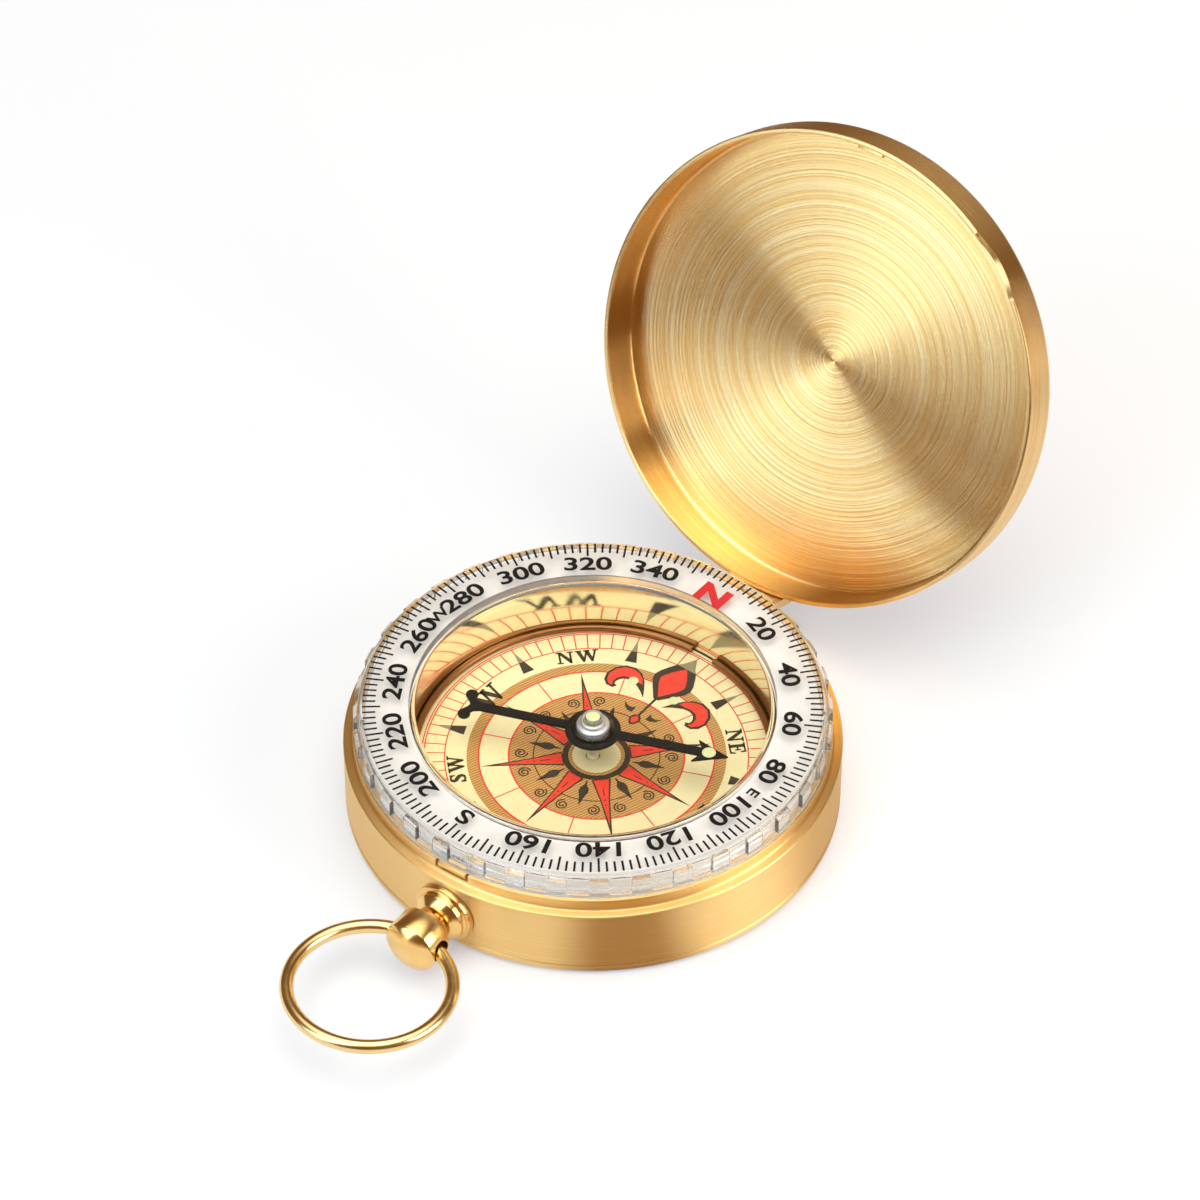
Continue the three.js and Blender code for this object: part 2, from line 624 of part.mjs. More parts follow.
// The neck is a fixed turned bush on the case wall that guides the crown's stem.
function pendantNeck() {
  const bore = STEM_RADIUS + STEM_CLEARANCE;
  const root = CASE_RADIUS - NECK_FLANGE_LENGTH;
  const flangeEnd = CASE_RADIUS + NECK_FLANGE_LENGTH;
  const drumEnd = flangeEnd + NECK_DRUM_LENGTH;
  const bush = turned([
    [bore, root],
    [NECK_FLANGE_RADIUS, root],
    [NECK_FLANGE_RADIUS, flangeEnd],
    [NECK_DRUM_RADIUS, flangeEnd],
    [NECK_DRUM_RADIUS, drumEnd],
    [NECK_END_RADIUS, neckEnd],
    [bore, neckEnd],
    [bore, root],
  ], SMALL_ROUND);
  return cut(alongCrown(bush), wallDrum(NECK_SEAT_GAP));
}

// The crown's head has a collar, a domed end and a cross hole for the bow ring.
function crownHead() {
  const domeSteps = [0.35, 0.7, 0.9].map((share) => [
    CROWN_HEAD_RADIUS * Math.sqrt(1 - share ** 2),
    crownHeadEnd + CROWN_DOME * share,
  ]);
  const head = turned([
    [0, crownStart],
    [CROWN_COLLAR_RADIUS, crownStart],
    [CROWN_COLLAR_RADIUS, crownStart + CROWN_COLLAR_LENGTH],
    [CROWN_HEAD_RADIUS, crownHeadStart],
    [CROWN_HEAD_RADIUS, crownHeadEnd],
    ...domeSteps,
    [0, crownHeadEnd + CROWN_DOME],
  ], SMALL_ROUND);
  const hole = barAlongX(crossHoleRadius, 4 * CROWN_HEAD_RADIUS, 0, -crossHoleY, crownZ);
  return cut(alongCrown(head), hole);
}

function crownStem() {
  return alongCrown(disc(STEM_RADIUS, latchBack, crownStart));
}

// The latch plate sits on the stem's inner end and hooks the lid with a nose through the rim.
function latchPlate() {
  const half = LATCH_WIDTH / 2;
  const plate = box([-half, -latchFace, crownZ - LATCH_FOOT], [half, -latchBack, latchTop]);
  const noseEnd = rimRadius - LATCH_NOSE_INSET;
  const nose = box([-half, -noseEnd, latchTop - LATCH_NOSE_HEIGHT], [half, -latchBack, latchTop]);
  const hole = alongCrown(disc(STEM_RADIUS + STEM_CLEARANCE, latchBack - LATCH_THICKNESS, CASE_RADIUS));
  return cut(join(plate, nose), hole);
}

// The catch is a small bar on the lid's inner wall that the latch's nose reaches over.
function lidCatch() {
  const half = CATCH_WIDTH / 2;
  const low = lidMouth + CATCH_RISE;
  return box(
    [-half, -(lidBore - CATCH_SEAT_GAP), low],
    [half, -(rimRadius + CATCH_CLEARANCE), low + CATCH_HEIGHT],
  );
}

// The return spring pushes the latch plate, and with it the crown, outwards.
function crownSpring() {
  const from = pocketFloor + SPRING_END_GAP + SPRING_WIRE / 2;
  const to = latchBack - SPRING_END_GAP - SPRING_WIRE / 2;
  const helix = new THREE.Curve();
  helix.getPoint = (t) => {
    const angle = 2 * Math.PI * SPRING_TURNS * t;
    const x = SPRING_RADIUS * Math.cos(angle);
    const z = crownZ + SPRING_RADIUS * Math.sin(angle);
    return new THREE.Vector3(x, -(from + (to - from) * t), z);
  };
  const section = new THREE.Shape();
  for (let i = 0; i < SPRING_SIDES; i += 1) {
    const angle = (2 * Math.PI * i) / SPRING_SIDES;
    const x = (SPRING_WIRE / 2) * Math.cos(angle);
    const y = (SPRING_WIRE / 2) * Math.sin(angle);
    if (i === 0) section.moveTo(x, y);
    else section.lineTo(x, y);
  }
  const steps = SPRING_TURNS * SPRING_STEPS;
  return weld(new THREE.ExtrudeGeometry(section, { steps, extrudePath: helix, bevelEnabled: false }));
}

// The bow ring hangs in the crown's cross hole, its wire arching evenly to both sides of the hole's axis.
function bowRing() {
  const section = roundEdge(BOW_RADIUS, 0, BOW_WIRE / 2, 0, 360, BOW_SIDES);
  const reach = BOW_RADIUS - bowSag / 2;
  const bow = turned(section, LARGE_ROUND).translate(0, -reach, 0);
  bow.rotateX(-THREE.MathUtils.degToRad(BOW_LIFT_DEGREES));
  return bow.translate(0, -crossHoleY, crownZ);
}

function dialDot(side) {
  const dot = disc(DIAL_DOT_RADIUS, dialTop, dialTop + DIAL_DOT_HEIGHT);
  return dot.translate(DIAL_DOT_SHIFT + side * DIAL_DOT_SPREAD, dialRadius - DIAL_DOT_INSET, 0);
}

place('case_shell', caseShell(), satinBrass());
place('carrier_ring', carrierRing(), whitePlastic());
place('luminous_ring', luminousRing(), whitePlastic());
place('capsule_cup', capsuleCup(), clearPlastic());
place('crystal', crystal(), clearPlastic());
place('dial_card', dialCard(), creamCard());
place('dial_snap_ring', snapRing(), bronzeWire());
place('dial_lume_dot_left', dialDot(-1), lumePaint());
place('dial_lume_dot_right', dialDot(1), lumePaint());
place('pivot_base', pivotBase(), creamCard());
place('pivot_pin', pivotPin(), steel());
place('needle', needle(), blackPaint());
place('needle_lume_dot', needleDot(), lumePaint());
place('needle_hub', needleHub(), clearPlastic());
place('jewel_bearing', jewelBearing(), steel());
place('hub_lume_dot', disc(HUB_DOT_RADIUS, hubTop, hubTop + HUB_DOT_HEIGHT), lumePaint());
place('bezel_ring', bezelRing(), clearPlastic());
place('case_hinge_left', caseHinge(-1), satinBrass());
place('case_hinge_right', caseHinge(1), satinBrass());
place('hinge_pin', hingePin(), steel());
place('pendant_neck', pendantNeck(), polishedBrass());
place('crown_head', crownHead(), polishedBrass());
place('crown_stem', crownStem(), polishedBrass());
place('latch_plate', latchPlate(), satinBrass());
place('crown_spring', crownSpring(), steel());
place('bow_ring', bowRing(), polishedBrass());
placeOnLid('lid_shell', lidShell(), satinBrass());
placeOnLid('lid_hinge_leaf', lidHingeLeaf(), satinBrass());
placeOnLid('lid_catch', lidCatch(), satinBrass());

export default compass;
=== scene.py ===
"""Dresses the packed pocket compass: turned brass, clear acrylic, a printed dial and a plain white stage."""
import json
import math
from types import SimpleNamespace

import bmesh
import bpy
from bpy.props import FloatProperty, FloatVectorProperty, IntProperty, PointerProperty
from mathutils import Matrix, Quaternion, Vector

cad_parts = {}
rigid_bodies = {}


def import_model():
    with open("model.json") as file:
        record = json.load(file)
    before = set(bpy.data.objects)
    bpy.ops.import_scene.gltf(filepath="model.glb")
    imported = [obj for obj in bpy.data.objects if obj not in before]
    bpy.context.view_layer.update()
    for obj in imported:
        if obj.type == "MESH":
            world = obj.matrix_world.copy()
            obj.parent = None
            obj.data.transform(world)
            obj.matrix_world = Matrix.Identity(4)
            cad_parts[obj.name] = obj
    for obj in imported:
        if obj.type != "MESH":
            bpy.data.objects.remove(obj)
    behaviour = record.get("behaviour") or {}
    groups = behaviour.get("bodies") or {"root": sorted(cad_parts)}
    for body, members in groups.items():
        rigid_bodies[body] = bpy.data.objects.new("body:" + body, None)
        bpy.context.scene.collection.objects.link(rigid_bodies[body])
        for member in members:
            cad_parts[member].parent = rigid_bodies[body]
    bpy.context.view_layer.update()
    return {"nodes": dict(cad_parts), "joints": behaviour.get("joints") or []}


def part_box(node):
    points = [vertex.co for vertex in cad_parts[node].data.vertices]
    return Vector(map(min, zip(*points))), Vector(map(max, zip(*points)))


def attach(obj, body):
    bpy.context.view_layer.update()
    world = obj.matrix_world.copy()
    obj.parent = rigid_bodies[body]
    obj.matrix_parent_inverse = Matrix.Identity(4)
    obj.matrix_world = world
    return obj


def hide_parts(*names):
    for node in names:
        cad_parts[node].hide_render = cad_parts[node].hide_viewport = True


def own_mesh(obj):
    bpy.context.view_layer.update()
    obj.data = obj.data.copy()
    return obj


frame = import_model()

bl_info = {
    "name": "Pocket compass",
    "version": (1, 0, 0),
    "blender": (4, 5, 0),
    "location": "View3D > Sidebar > Compass",
    "description": "Models the visible pieces of a brass pocket compass over its packed frame",
    "category": "Object",
}

MM = 0.001
SAME_PLACE = 1e-7  # metres between points that were drawn in one place
WELD = 2e-6  # metres between points that a bevel or a cut left in one place
CORNER_FACET = 0.05  # millimetres of rounding for each facet of a corner
ROUND = 256  # facets of a large round
SMALL_ROUND = 96  # facets of a small round
TENS = 36  # sectors of ten degrees round the bezel
WINDS = 8  # winds round the dial
UP = (0, 0, 1)


# Properties. Lengths are written here in millimetres and angles in degrees.


def length(name, description, default):
    """A length, kept in metres."""
    return FloatProperty(name=name, description=description, default=default * MM, unit="LENGTH", precision=5)


def angle(name, description, default):
    """An angle, kept in radians."""
    return FloatProperty(name=name, description=description, default=math.radians(default), subtype="ANGLE")


def colour(name, description, default):
    """A linear colour without alpha."""
    return FloatVectorProperty(
        name=name, description=description, default=default, subtype="COLOR", size=3, min=0, max=1
    )


def watts(name, description, default):
    """A lamp's power."""
    return FloatProperty(name=name, description=description, default=default, unit="POWER")


def low(node, axis=2):
    """Where a packed node begins along an axis, in millimetres."""
    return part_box(node)[0][axis] / MM


def high(node, axis=2):
    """Where a packed node ends along an axis, in millimetres."""
    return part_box(node)[1][axis] / MM


def joint(name):
    """A joint of the packed record."""
    return next(entry for entry in frame["joints"] if entry["name"] == name)


class CaseSizes(bpy.types.PropertyGroup):
    """Case and carrier ring"""

    radius: length("Radius", "Outside radius of the case", high("case_shell", 0))
    floor: length("Floor", "Thickness of the case's floor", low("carrier_ring"))
    edge: length("Edge", "Ease of the bottom edge", 0.45)
    groove_height: length("Groove height", "Height of the scribed line", 1.1)
    groove_width: length("Groove width", "Width of the scribed line", 0.3)
    groove_depth: length("Groove depth", "Depth of the scribed line", 0.13)
    ledge: length("Ledge", "Height of the ledge that the lid shuts on", 8.1)
    rim_top: length("Rim top", "Height of the rim", high("case_shell"))
    rim: length("Rim", "Outside radius of the rim", 24.0)
    bore: length("Bore", "Radius of the bore", 23.2)
    slot: length("Latch slot", "Half width of the slot in the rim", 1.95)
    slot_low: length("Latch slot floor", "Height of the slot's floor", 8.5)
    carrier: length("Carrier", "Outside radius of the carrier ring", high("carrier_ring", 0))
    carrier_bore: length("Carrier bore", "Bore of the carrier ring", 19.15)
    carrier_step: length("Carrier step", "Height of the carrier's shoulder", 9.3)
    carrier_neck: length("Carrier neck", "Radius of the carrier's neck", 22.6)
    carrier_top: length("Carrier top", "Height of the carrier", high("carrier_ring"))
    run: length("Bezel run", "Radius of the groove that the bezel's bead runs in", 22.0)
    run_top: length("Bezel run top", "Height of the bezel's run", 10.35)
    pocket: length("Pocket", "Half width of the latch's pocket", 2.05)
    pocket_low: length("Pocket floor", "Height of the pocket's floor", 2.2)
    pocket_back: length("Pocket back", "Radius of the pocket behind the latch", 21.55)
    spring_back: length("Spring back", "Radius of the pocket behind the spring", 19.65)
    spring_top: length("Spring top", "Height of the spring's pocket", 6.2)


class LidSizes(bpy.types.PropertyGroup):
    """Lid, as it lies shut"""

    radius: length("Radius", "Outside radius of the lid", high("lid_shell", 0))
    wall: length("Wall", "Thickness of the sheet", 0.55)
    mouth: length("Mouth", "Height of the mouth's edge", 8.25)
    top: length("Top", "Height of the lid's outer face", 13.4)
    edge: length("Edge", "Round of the outer edge", 1.4)
    fillet: length("Fillet", "Round of the inner corner", 0.4)
    mark: length("Centre mark", "Radius of the lathe's centre mark", 0.26)
    notch: length("Thumb notch", "Radius of the thumb notch's scoop", 10.0)
    notch_rise: length("Thumb notch height", "Height of the thumb notch above the mouth", 0.7)
    catch_width: length("Catch width", "Width of the catch", 3.0)
    catch_height: length("Catch height", "Height of the catch", 0.5)
    catch_depth: length("Catch depth", "How far the catch stands into the lid", 0.37)
    catch_rise: length("Catch rise", "Height of the catch above the mouth", 0.1)
    catch_root: length("Catch root", "How far the catch is let into the wall", 0.05)
    notch_turn: angle("Thumb notch turn", "Place of the thumb notch round the mouth", -48)


class BezelSizes(bpy.types.PropertyGroup):
    """Turning bezel and its printed scale"""

    radius: length("Radius", "Outside radius over the teeth", 23.9)
    bore: length("Bore", "Radius of the bore", 18.3)
    bottom: length("Bottom", "Height of the skirt's lower edge", low("bezel_ring"))
    top: length("Top", "Height of the printed face", high("bezel_ring"))
    plate: length("Plate", "Thickness of the face plate", 0.9)
    skirt: length("Skirt", "Thickness of the skirt", 1.0)
    bead: length("Bead", "Overhang of the bead inside the skirt", 0.6)
    bead_height: length("Bead height", "Height of the bead", 0.5)
    chamfer: length("Chamfer", "Width of the sloping edge", 0.9)
    shoulder: length("Shoulder", "Height of the sloping edge", 0.7)
    notch_width: length("Notch width", "Width of a finger notch", 2.2)
    notch_depth: length("Notch depth", "Depth of a finger notch", 0.45)
    notch_sill: length("Notch sill", "Height of a finger notch above the skirt's edge", 0.55)
    turn: angle("Turn", "Bearing that the bezel's north stands at", 3.5)
    tick_outer: length("Tick outer end", "Radius of the ticks' outer ends", 22.95)
    tick_width: length("Tick width", "Width of a tick", 0.22)
    short_tick: length("Short tick", "Length of a two degree tick", 1.3)
    long_tick: length("Long tick", "Length of a ten degree tick", 1.8)
    numeral: length("Numeral", "Height of the numerals", 1.95)
    numeral_radius: length("Numeral radius", "Radius of the numerals' middles", 20.0)
    north: length("North", "Height of the north letter", 2.6)
    north_radius: length("North radius", "Radius of the north letter's middle", 19.6)
    paint: length("Paint", "Thickness of the printed paint", 0.015)
    lift: length("Lift", "Gap between the printed face and the paint", 0.006)


class CapsuleSizes(bpy.types.PropertyGroup):
    """Capsule, crystal, pearly ring and snap ring"""

    radius: length("Radius", "Outside radius of the capsule", high("capsule_cup", 0))
    bore: length("Bore", "Radius inside the capsule", 18.4)
    foot: length("Foot", "Height that the capsule stands at", low("capsule_cup"))
    web: length("Web", "Thickness of the web under the dial", 0.8)
    sleeve: length("Sleeve", "Thickness of the bright sleeve", 0.04)
    sleeve_gap: length("Sleeve gap", "Gap between the bright sleeve and the bore", 0.02)
    sleeve_top: length("Sleeve top", "Height of the bright sleeve", low("crystal") - 0.5)
    crystal_low: length("Crystal underside", "Height of the crystal's underside", low("crystal"))
    crystal_top: length("Crystal top", "Height of the crystal's face", high("crystal"))
    flange: length("Crystal flange", "Thickness of the crystal's flange", 0.35)
    boss: length("Crystal boss", "Radius of the crystal above its flange", 18.1)
    bevel_width: length("Bevel width", "Width of the crystal's bevel", 0.35)
    bevel_height: length("Bevel height", "Height of the crystal's bevel", 0.3)
    pearl: length("Pearly ring", "Outside radius of the pearly ring", high("luminous_ring", 0))
    pearl_bore: length("Pearly ring bore", "Bore of the pearly ring", 18.3)
    wire: length("Snap ring wire", "Thickness of the snap ring's wire", 0.7)
    wire_radius: length("Snap ring radius", "Mean radius of the snap ring", 17.95)
    wire_gap: angle("Snap ring gap", "Width of the gap in the snap ring", 9)
    wire_turn: angle("Snap ring turn", "Bearing of the gap in the snap ring", 4)


class DialSizes(bpy.types.PropertyGroup):
    """Dial and its print"""

    radius: length("Radius", "Radius of the card", high("dial_card", 0))
    top: length("Top", "Height of the card's face", high("dial_card"))
    hole: length("Hole", "Radius of the hole for the pivot", 0.7)
    turn: angle("Turn", "Bearing that the print's north stands at", 2.2)
    shift_x: length("Shift right", "How far the print is off to the right", 0.28)
    shift_y: length("Shift north", "How far the print is off to the north", 0.22)
    layer: length("Layer", "Height of a layer of print", 0.006)
    lift: length("Lift", "Gap between the card and the first layer", 0.002)
    rule: length("Rule", "Width of the red circles and ticks", 0.12)
    disc: length("Centre disc", "Radius of the ochre disc", 8.8)
    band_inner: length("Band inner", "Inner radius of the ochre band", 11.95)
    band_outer: length("Band outer", "Outer radius of the ochre band", 13.05)
    ladder_inner: length("Ladder inner", "Inner radius of the tick ladder", 15.25)
    ladder_outer: length("Ladder outer", "Outer radius of the tick ladder", 17.35)
    rungs: IntProperty(name="Rungs", description="Ticks of the tick ladder", default=80)
    ray: length("Ray", "Reach of the star's rays", 11.75)
    eye: length("Eye", "Radius of the cream eye", 2.45)
    wind: length("Wind letter", "Height of the chief winds' letters", 2.4)
    half_wind: length("Half wind letter", "Height of the half winds' letters", 1.68)


class NeedleSizes(bpy.types.PropertyGroup):
    """Needle and hub"""

    bearing: angle("Bearing", "Bearing that the arrow points at", 71)
    bottom: length("Bottom", "Height of the needle's lower face", low("needle"))
    top: length("Top", "Height of the needle's upper face", high("needle"))
    tip: length("Tip", "Reach of the arrow", 14.0)
    tail: length("Tail", "Reach of the forked tail", 13.7)
    arm: length("Arm", "Width of the arms", 1.05)
    head: length("Head", "Width of the arrow", 3.0)
    lobe: length("Lobe", "Radius of the tail's round lobes", 0.64)
    lobe_spread: length("Lobe spread", "Distance of a lobe's middle from the needle's line", 1.4)
    ring: length("Ring", "Radius of the ring at the hub", 2.8)
    hole: length("Hole", "Radius of the hole in the ring", 1.3)
    hub: length("Hub", "Radius of the hub's flange", high("needle_hub", 0))
    hub_top: length("Hub top", "Height of the hub", high("needle_hub"))
    hub_bore: length("Hub bore", "Radius of the bore for the jewel", 0.8)
    hub_roof: length("Hub roof", "Thickness of the hub over the jewel", 0.4)
    hub_rim: length("Hub rim", "Height of the hub's flange above the needle", 0.42)
    hub_first: length("Hub first step", "Height of the hub's first step above the needle", 0.8)
    hub_second: length("Hub second step", "Height of the hub's second step above the needle", 1.25)
    hub_skin: length("Hub skin", "Thickness of the clear hub over its bright bush", 0.1)
    button: length("Button", "Radius of the hub's button", 1.05)


class CrownSizes(bpy.types.PropertyGroup):
    """Crown and bow ring. Places along the crown are distances from the case's axis"""

    height: length("Height", "Height of the crown's axis", 4.3)
    bore: length("Stem bore", "Radius of the bore for the stem", 1.15)
    flange: length("Neck flange", "Radius of the neck's flange", 3.2)
    flange_end: length("Neck flange end", "Where the neck's flange ends", 25.6)
    drum: length("Neck drum", "Radius of the neck's drum", 2.7)
    drum_end: length("Neck drum end", "Where the neck's drum ends", 26.2)
    neck: length("Neck", "Radius of the neck's end", 1.9)
    neck_end: length("Neck end", "Where the neck ends", 27.0)
    collar: length("Collar", "Radius of the head's collar", 2.15)
    collar_start: length("Collar start", "Where the head's collar starts", 27.6)
    collar_end: length("Collar end", "Where the head's collar ends", 28.0)
    head: length("Head", "Radius of the crown's head", 2.85)
    head_start: length("Head start", "Where the head's barrel starts", 28.3)
    head_end: length("Head end", "Where the head's barrel ends", 31.0)
    dome: length("Dome", "Height of the head's domed end", 1.1)
    hole: length("Cross hole", "Radius of the cross hole", 1.11)
    bow: length("Bow", "Mean radius of the bow ring", 8.0)
    wire: length("Wire", "Thickness of the bow ring's wire", 1.4)
    lift: angle("Lift", "How far the bow ring stands above level", 2.6)
    spring: length("Spring", "Mean radius of the return spring", 1.3)
    spring_wire: length("Spring wire", "Thickness of the return spring's wire", 0.35)
    spring_turns: IntProperty(name="Spring turns", description="Turns of the return spring", default=3)


class CompassColours(bpy.types.PropertyGroup):
    """Base colours of the finishes"""

    satin: colour("Satin brass", "Brushed brass of case and crown", (0.88, 0.56, 0.20))
    # Same brass as the case, made a little more saturated for the lid: painted shade for the lid's shaded
    # inside
    spun: colour("Spun brass", "Brushed brass of the lid", (0.90, 0.55, 0.19))
    gleam: colour("Gleam", "Bright lines in the brushed brass", (0.97, 0.81, 0.47))
    polished: colour("Polished brass", "Bright brass of the bow ring", (0.90, 0.64, 0.29))
    bronze: colour("Bronze", "Wire of the snap ring", (0.34, 0.15, 0.05))
    steel: colour("Steel", "Pins and springs", (0.60, 0.60, 0.61))
    acrylic: colour("Acrylic", "Tint of the clear pieces", (0.995, 0.995, 0.99))
    pearl: colour("Pearl", "Ring under the bezel and its carrier", (0.89, 0.87, 0.83))
    mirror: colour("Mirror", "Bright sleeve round the capsule", (0.95, 0.88, 0.70))
    cream: colour("Cream", "The dial's card", (0.91, 0.80, 0.435))
    ochre: colour("Ochre", "Light strokes of the dial's ochre print", (0.66, 0.36, 0.10))
    brown: colour("Brown", "Dark strokes of the dial's ochre print", (0.33, 0.15, 0.035))
    red: colour("Red", "The dial's red print", (0.87, 0.065, 0.035))
    ink: colour("Ink", "The dial's dark print", (0.055, 0.038, 0.022))
    thin_ink: colour("Thin ink", "Dark print where it thins out over the ladder", (0.33, 0.27, 0.14))
    scale: colour("Scale black", "The bezel's numerals and ticks", (0.008, 0.008, 0.008))
    north: colour("North red", "The bezel's north letter", (0.64, 0.018, 0.025))
    lume: colour("Luminous paint", "Paint dots on dial, needle and hub", (0.76, 0.80, 0.40))
    needle: colour("Needle black", "Satin paint of the needle", (0.010, 0.010, 0.009))


class StageSettings(bpy.types.PropertyGroup):
    """Camera, light and floor"""

    azimuth: angle("Azimuth", "Turn of the camera round the compass", 34.998)
    elevation: angle("Elevation", "Height of the camera over the floor", 44.065)
    distance: length("Distance", "Distance from camera to target", 516.983)
    target: FloatVectorProperty(
        name="Target", description="Point in the middle of the picture",
        default=(-0.01163, 0.017833, 0.006), size=3, subtype="TRANSLATION",
    )
    lens: FloatProperty(name="Lens", description="Focal length on a 36 mm sensor", default=150, unit="CAMERA")
    key_turn: angle("Left softbox turn", "Turn of the left softbox from +X", -107)
    key_rise: angle("Left softbox rise", "Height of the left softbox", 31.6)
    key_roll: angle("Left softbox roll", "How far the left softbox leans to its left", -24)
    key_width: length("Left softbox width", "Width of the left softbox", 300)
    key_height: length("Left softbox height", "Height of the left softbox's panel", 610)
    key_power: watts("Left softbox power", "Power of the left softbox", 1.72)
    key_colour: colour("Left softbox colour", "Colour of the left softbox", (0.60, 0.79, 1.0))
    side_turn: angle("Right softbox turn", "Turn of the right softbox from +X", 12)
    side_rise: angle("Right softbox rise", "Height of the right softbox", 24)
    side_size: length("Right softbox size", "Width and height of the right softbox", 340)
    side_power: watts("Right softbox power", "Power of the right softbox", 1.8)
    reach: length("Softbox distance", "Distance of the softboxes from the compass", 550)
    horizon: colour("Horizon", "Light of the surroundings low down", (0.06, 0.035, 0.014))
    overhead: colour("Overhead", "Light of the surroundings overhead", (1.0, 0.97, 0.92))
    ambient: FloatProperty(name="Surroundings", description="Strength of their light", default=3.1)
    floor: colour("Floor", "Colour of the pale sheet under the compass", (0.62, 0.60, 0.56))
    floor_edge: colour("Floor edge", "Colour of the floor beyond the sheet", (0.17, 0.09, 0.04))
    card: colour("Cards", "Colour of the two dark cards that the case reflects", (0.26, 0.14, 0.05))
    card_turn: angle("Front card turn", "Turn of the front card from +X", -46)
    card_width: angle("Front card width", "Half the width of the front card as the case sees it", 16)
    side_card_turn: angle("Side card turn", "Turn of the side card from +X", 24)
    side_card_width: angle("Side card width", "Half the width of the side card as the case sees it", 24)
    floor_white: colour("Floor white", "What the floor is lifted to where it is seen", (0.86, 0.89, 0.92))
    sheet: length("Sheet", "Radius of the pale sheet", 120)
    floor_size: length("Floor size", "Width of the floor", 6000)
    floor_drop: length("Floor drop", "Gap between the case's base and the floor", 0.05)


def in_mm(group):
    """The lengths of a property group in millimetres and its angles in radians."""
    values = {}
    for name in group.__annotations__:
        is_length = group.bl_rna.properties[name].unit == "LENGTH"
        values[name] = getattr(group, name) / MM if is_length else getattr(group, name)
    return SimpleNamespace(**values)


# Modelling helpers. Places and sizes are in millimetres.


def select_only(ob=None):
    """Leaves edit mode, deselects everything and then selects ob."""
    if bpy.context.object and bpy.context.object.mode != "OBJECT":
        bpy.ops.object.mode_set(mode="OBJECT")
    bpy.ops.object.select_all(action="DESELECT")
    if ob:
        ob.select_set(True)
        bpy.context.view_layer.objects.active = ob


def begin(name):
    """Starts an empty mesh object at the origin and enters edit mode."""
    select_only()
    bpy.ops.mesh.primitive_plane_add(size=MM)
    ob = bpy.context.object
    ob.name = ob.data.name = name
    bpy.ops.object.mode_set(mode="EDIT")
    bpy.ops.mesh.select_mode(type="VERT")
    bpy.ops.mesh.delete(type="VERT")
    return ob


def draw(points):
    """Draws a chain of edges by extruding one vertex from place to place, and leaves it selected."""
    bpy.ops.mesh.select_all(action="DESELECT")
    places = [Vector(point) * MM for point in points]
    bpy.ops.mesh.primitive_plane_add(size=MM, location=places[0])
    bpy.ops.mesh.merge(type="CENTER")
    for here, there in zip(places, places[1:]):
        bpy.ops.mesh.extrude_region_move(TRANSFORM_OT_translate={"value": there - here})
    bpy.ops.mesh.select_linked()


def round_corner(ob, place, radius):
    """Rounds the corner of a drawn chain at a place, in edit mode."""
    mesh = bmesh.from_edit_mesh(ob.data)
    for vertex in mesh.verts:
        vertex.select = (vertex.co - Vector(place) * MM).length < SAME_PLACE
    mesh.select_flush_mode()
    bmesh.update_edit_mesh(ob.data)
    segments = max(2, min(8, round(radius / CORNER_FACET)))
    bpy.ops.mesh.bevel(offset=radius * MM, offset_type="OFFSET", segments=segments, affect="VERTICES")


def spin_round(rounds):
    """Spins what is selected a full turn about Z and closes it, in edit mode."""
    bpy.ops.mesh.spin(steps=rounds, angle=math.tau, center=(0, 0, 0), axis=UP)
    bpy.ops.mesh.select_linked()
    bpy.ops.mesh.remove_doubles(threshold=SAME_PLACE)


def weld(within=WELD):
    """Enters edit mode and merges the active piece's points that lie in one place."""
    bpy.ops.object.mode_set(mode="EDIT")
    bpy.ops.mesh.select_mode(type="VERT")
    bpy.ops.mesh.select_all(action="SELECT")
    bpy.ops.mesh.remove_doubles(threshold=within)


def face_outwards():
    """Turns all faces outwards, in edit mode."""
    bpy.ops.mesh.select_all(action="SELECT")
    bpy.ops.mesh.normals_make_consistent(inside=False)


def leave(ob, smooth=35):
    """Leaves edit mode and shades the piece smooth up to an angle."""
    select_only(ob)
    bpy.ops.object.shade_smooth_by_angle(angle=math.radians(smooth))
    return ob


def turned(name, profile, rounds=ROUND):
    """Turns a profile of (radius, height) or (radius, height, rounding) about Z.

    A profile that starts on the axis ends there too. Any other is closed.
    """
    ob = begin(name)
    ends = profile[:1] if profile[0][0] else []
    draw([(point[0], 0, point[1]) for point in profile + ends])
    bpy.ops.mesh.remove_doubles(threshold=SAME_PLACE)
    for radius, height, rounding in (point for point in profile if len(point) > 2):
        round_corner(ob, (radius, 0, height), rounding)
    bpy.ops.mesh.select_all(action="SELECT")
    spin_round(rounds)
    face_outwards()
    return leave(ob)


def fill(outline, height, copies=1, around=None):
    """Fills a closed outline and copies it clockwise round Z, in edit mode.

    Around is how many copies would go all the way round, where some are left out.
    """
    draw([(x, y, height) for x, y in outline])
    bpy.ops.mesh.edge_face_add()
    if copies > 1:
        sweep = math.tau * (copies - 1) / (around or copies)
        bpy.ops.mesh.spin(steps=copies - 1, dupli=True, angle=sweep, center=(0, 0, 0), axis=UP)


def thicken(height):
    """Extrudes all the flat faces upwards, in edit mode."""
    bpy.ops.mesh.select_all(action="SELECT")
    bpy.ops.mesh.extrude_region_move(TRANSFORM_OT_translate={"value": (0, 0, height * MM)})
    face_outwards()


def ring_of_wire(name, radius, wire, sweep, rounds, sides):
    """Spins a round section about Z through a sweep, starting at +Y, and closes any open ends."""
    ob = begin(name)
    bpy.ops.mesh.primitive_circle_add(
        vertices=sides, radius=wire / 2 * MM, location=(0, radius * MM, 0), rotation=(0, math.pi / 2, 0)
    )
    bpy.ops.mesh.spin(steps=rounds, angle=sweep, center=(0, 0, 0), axis=UP)
    return close_wire(ob)


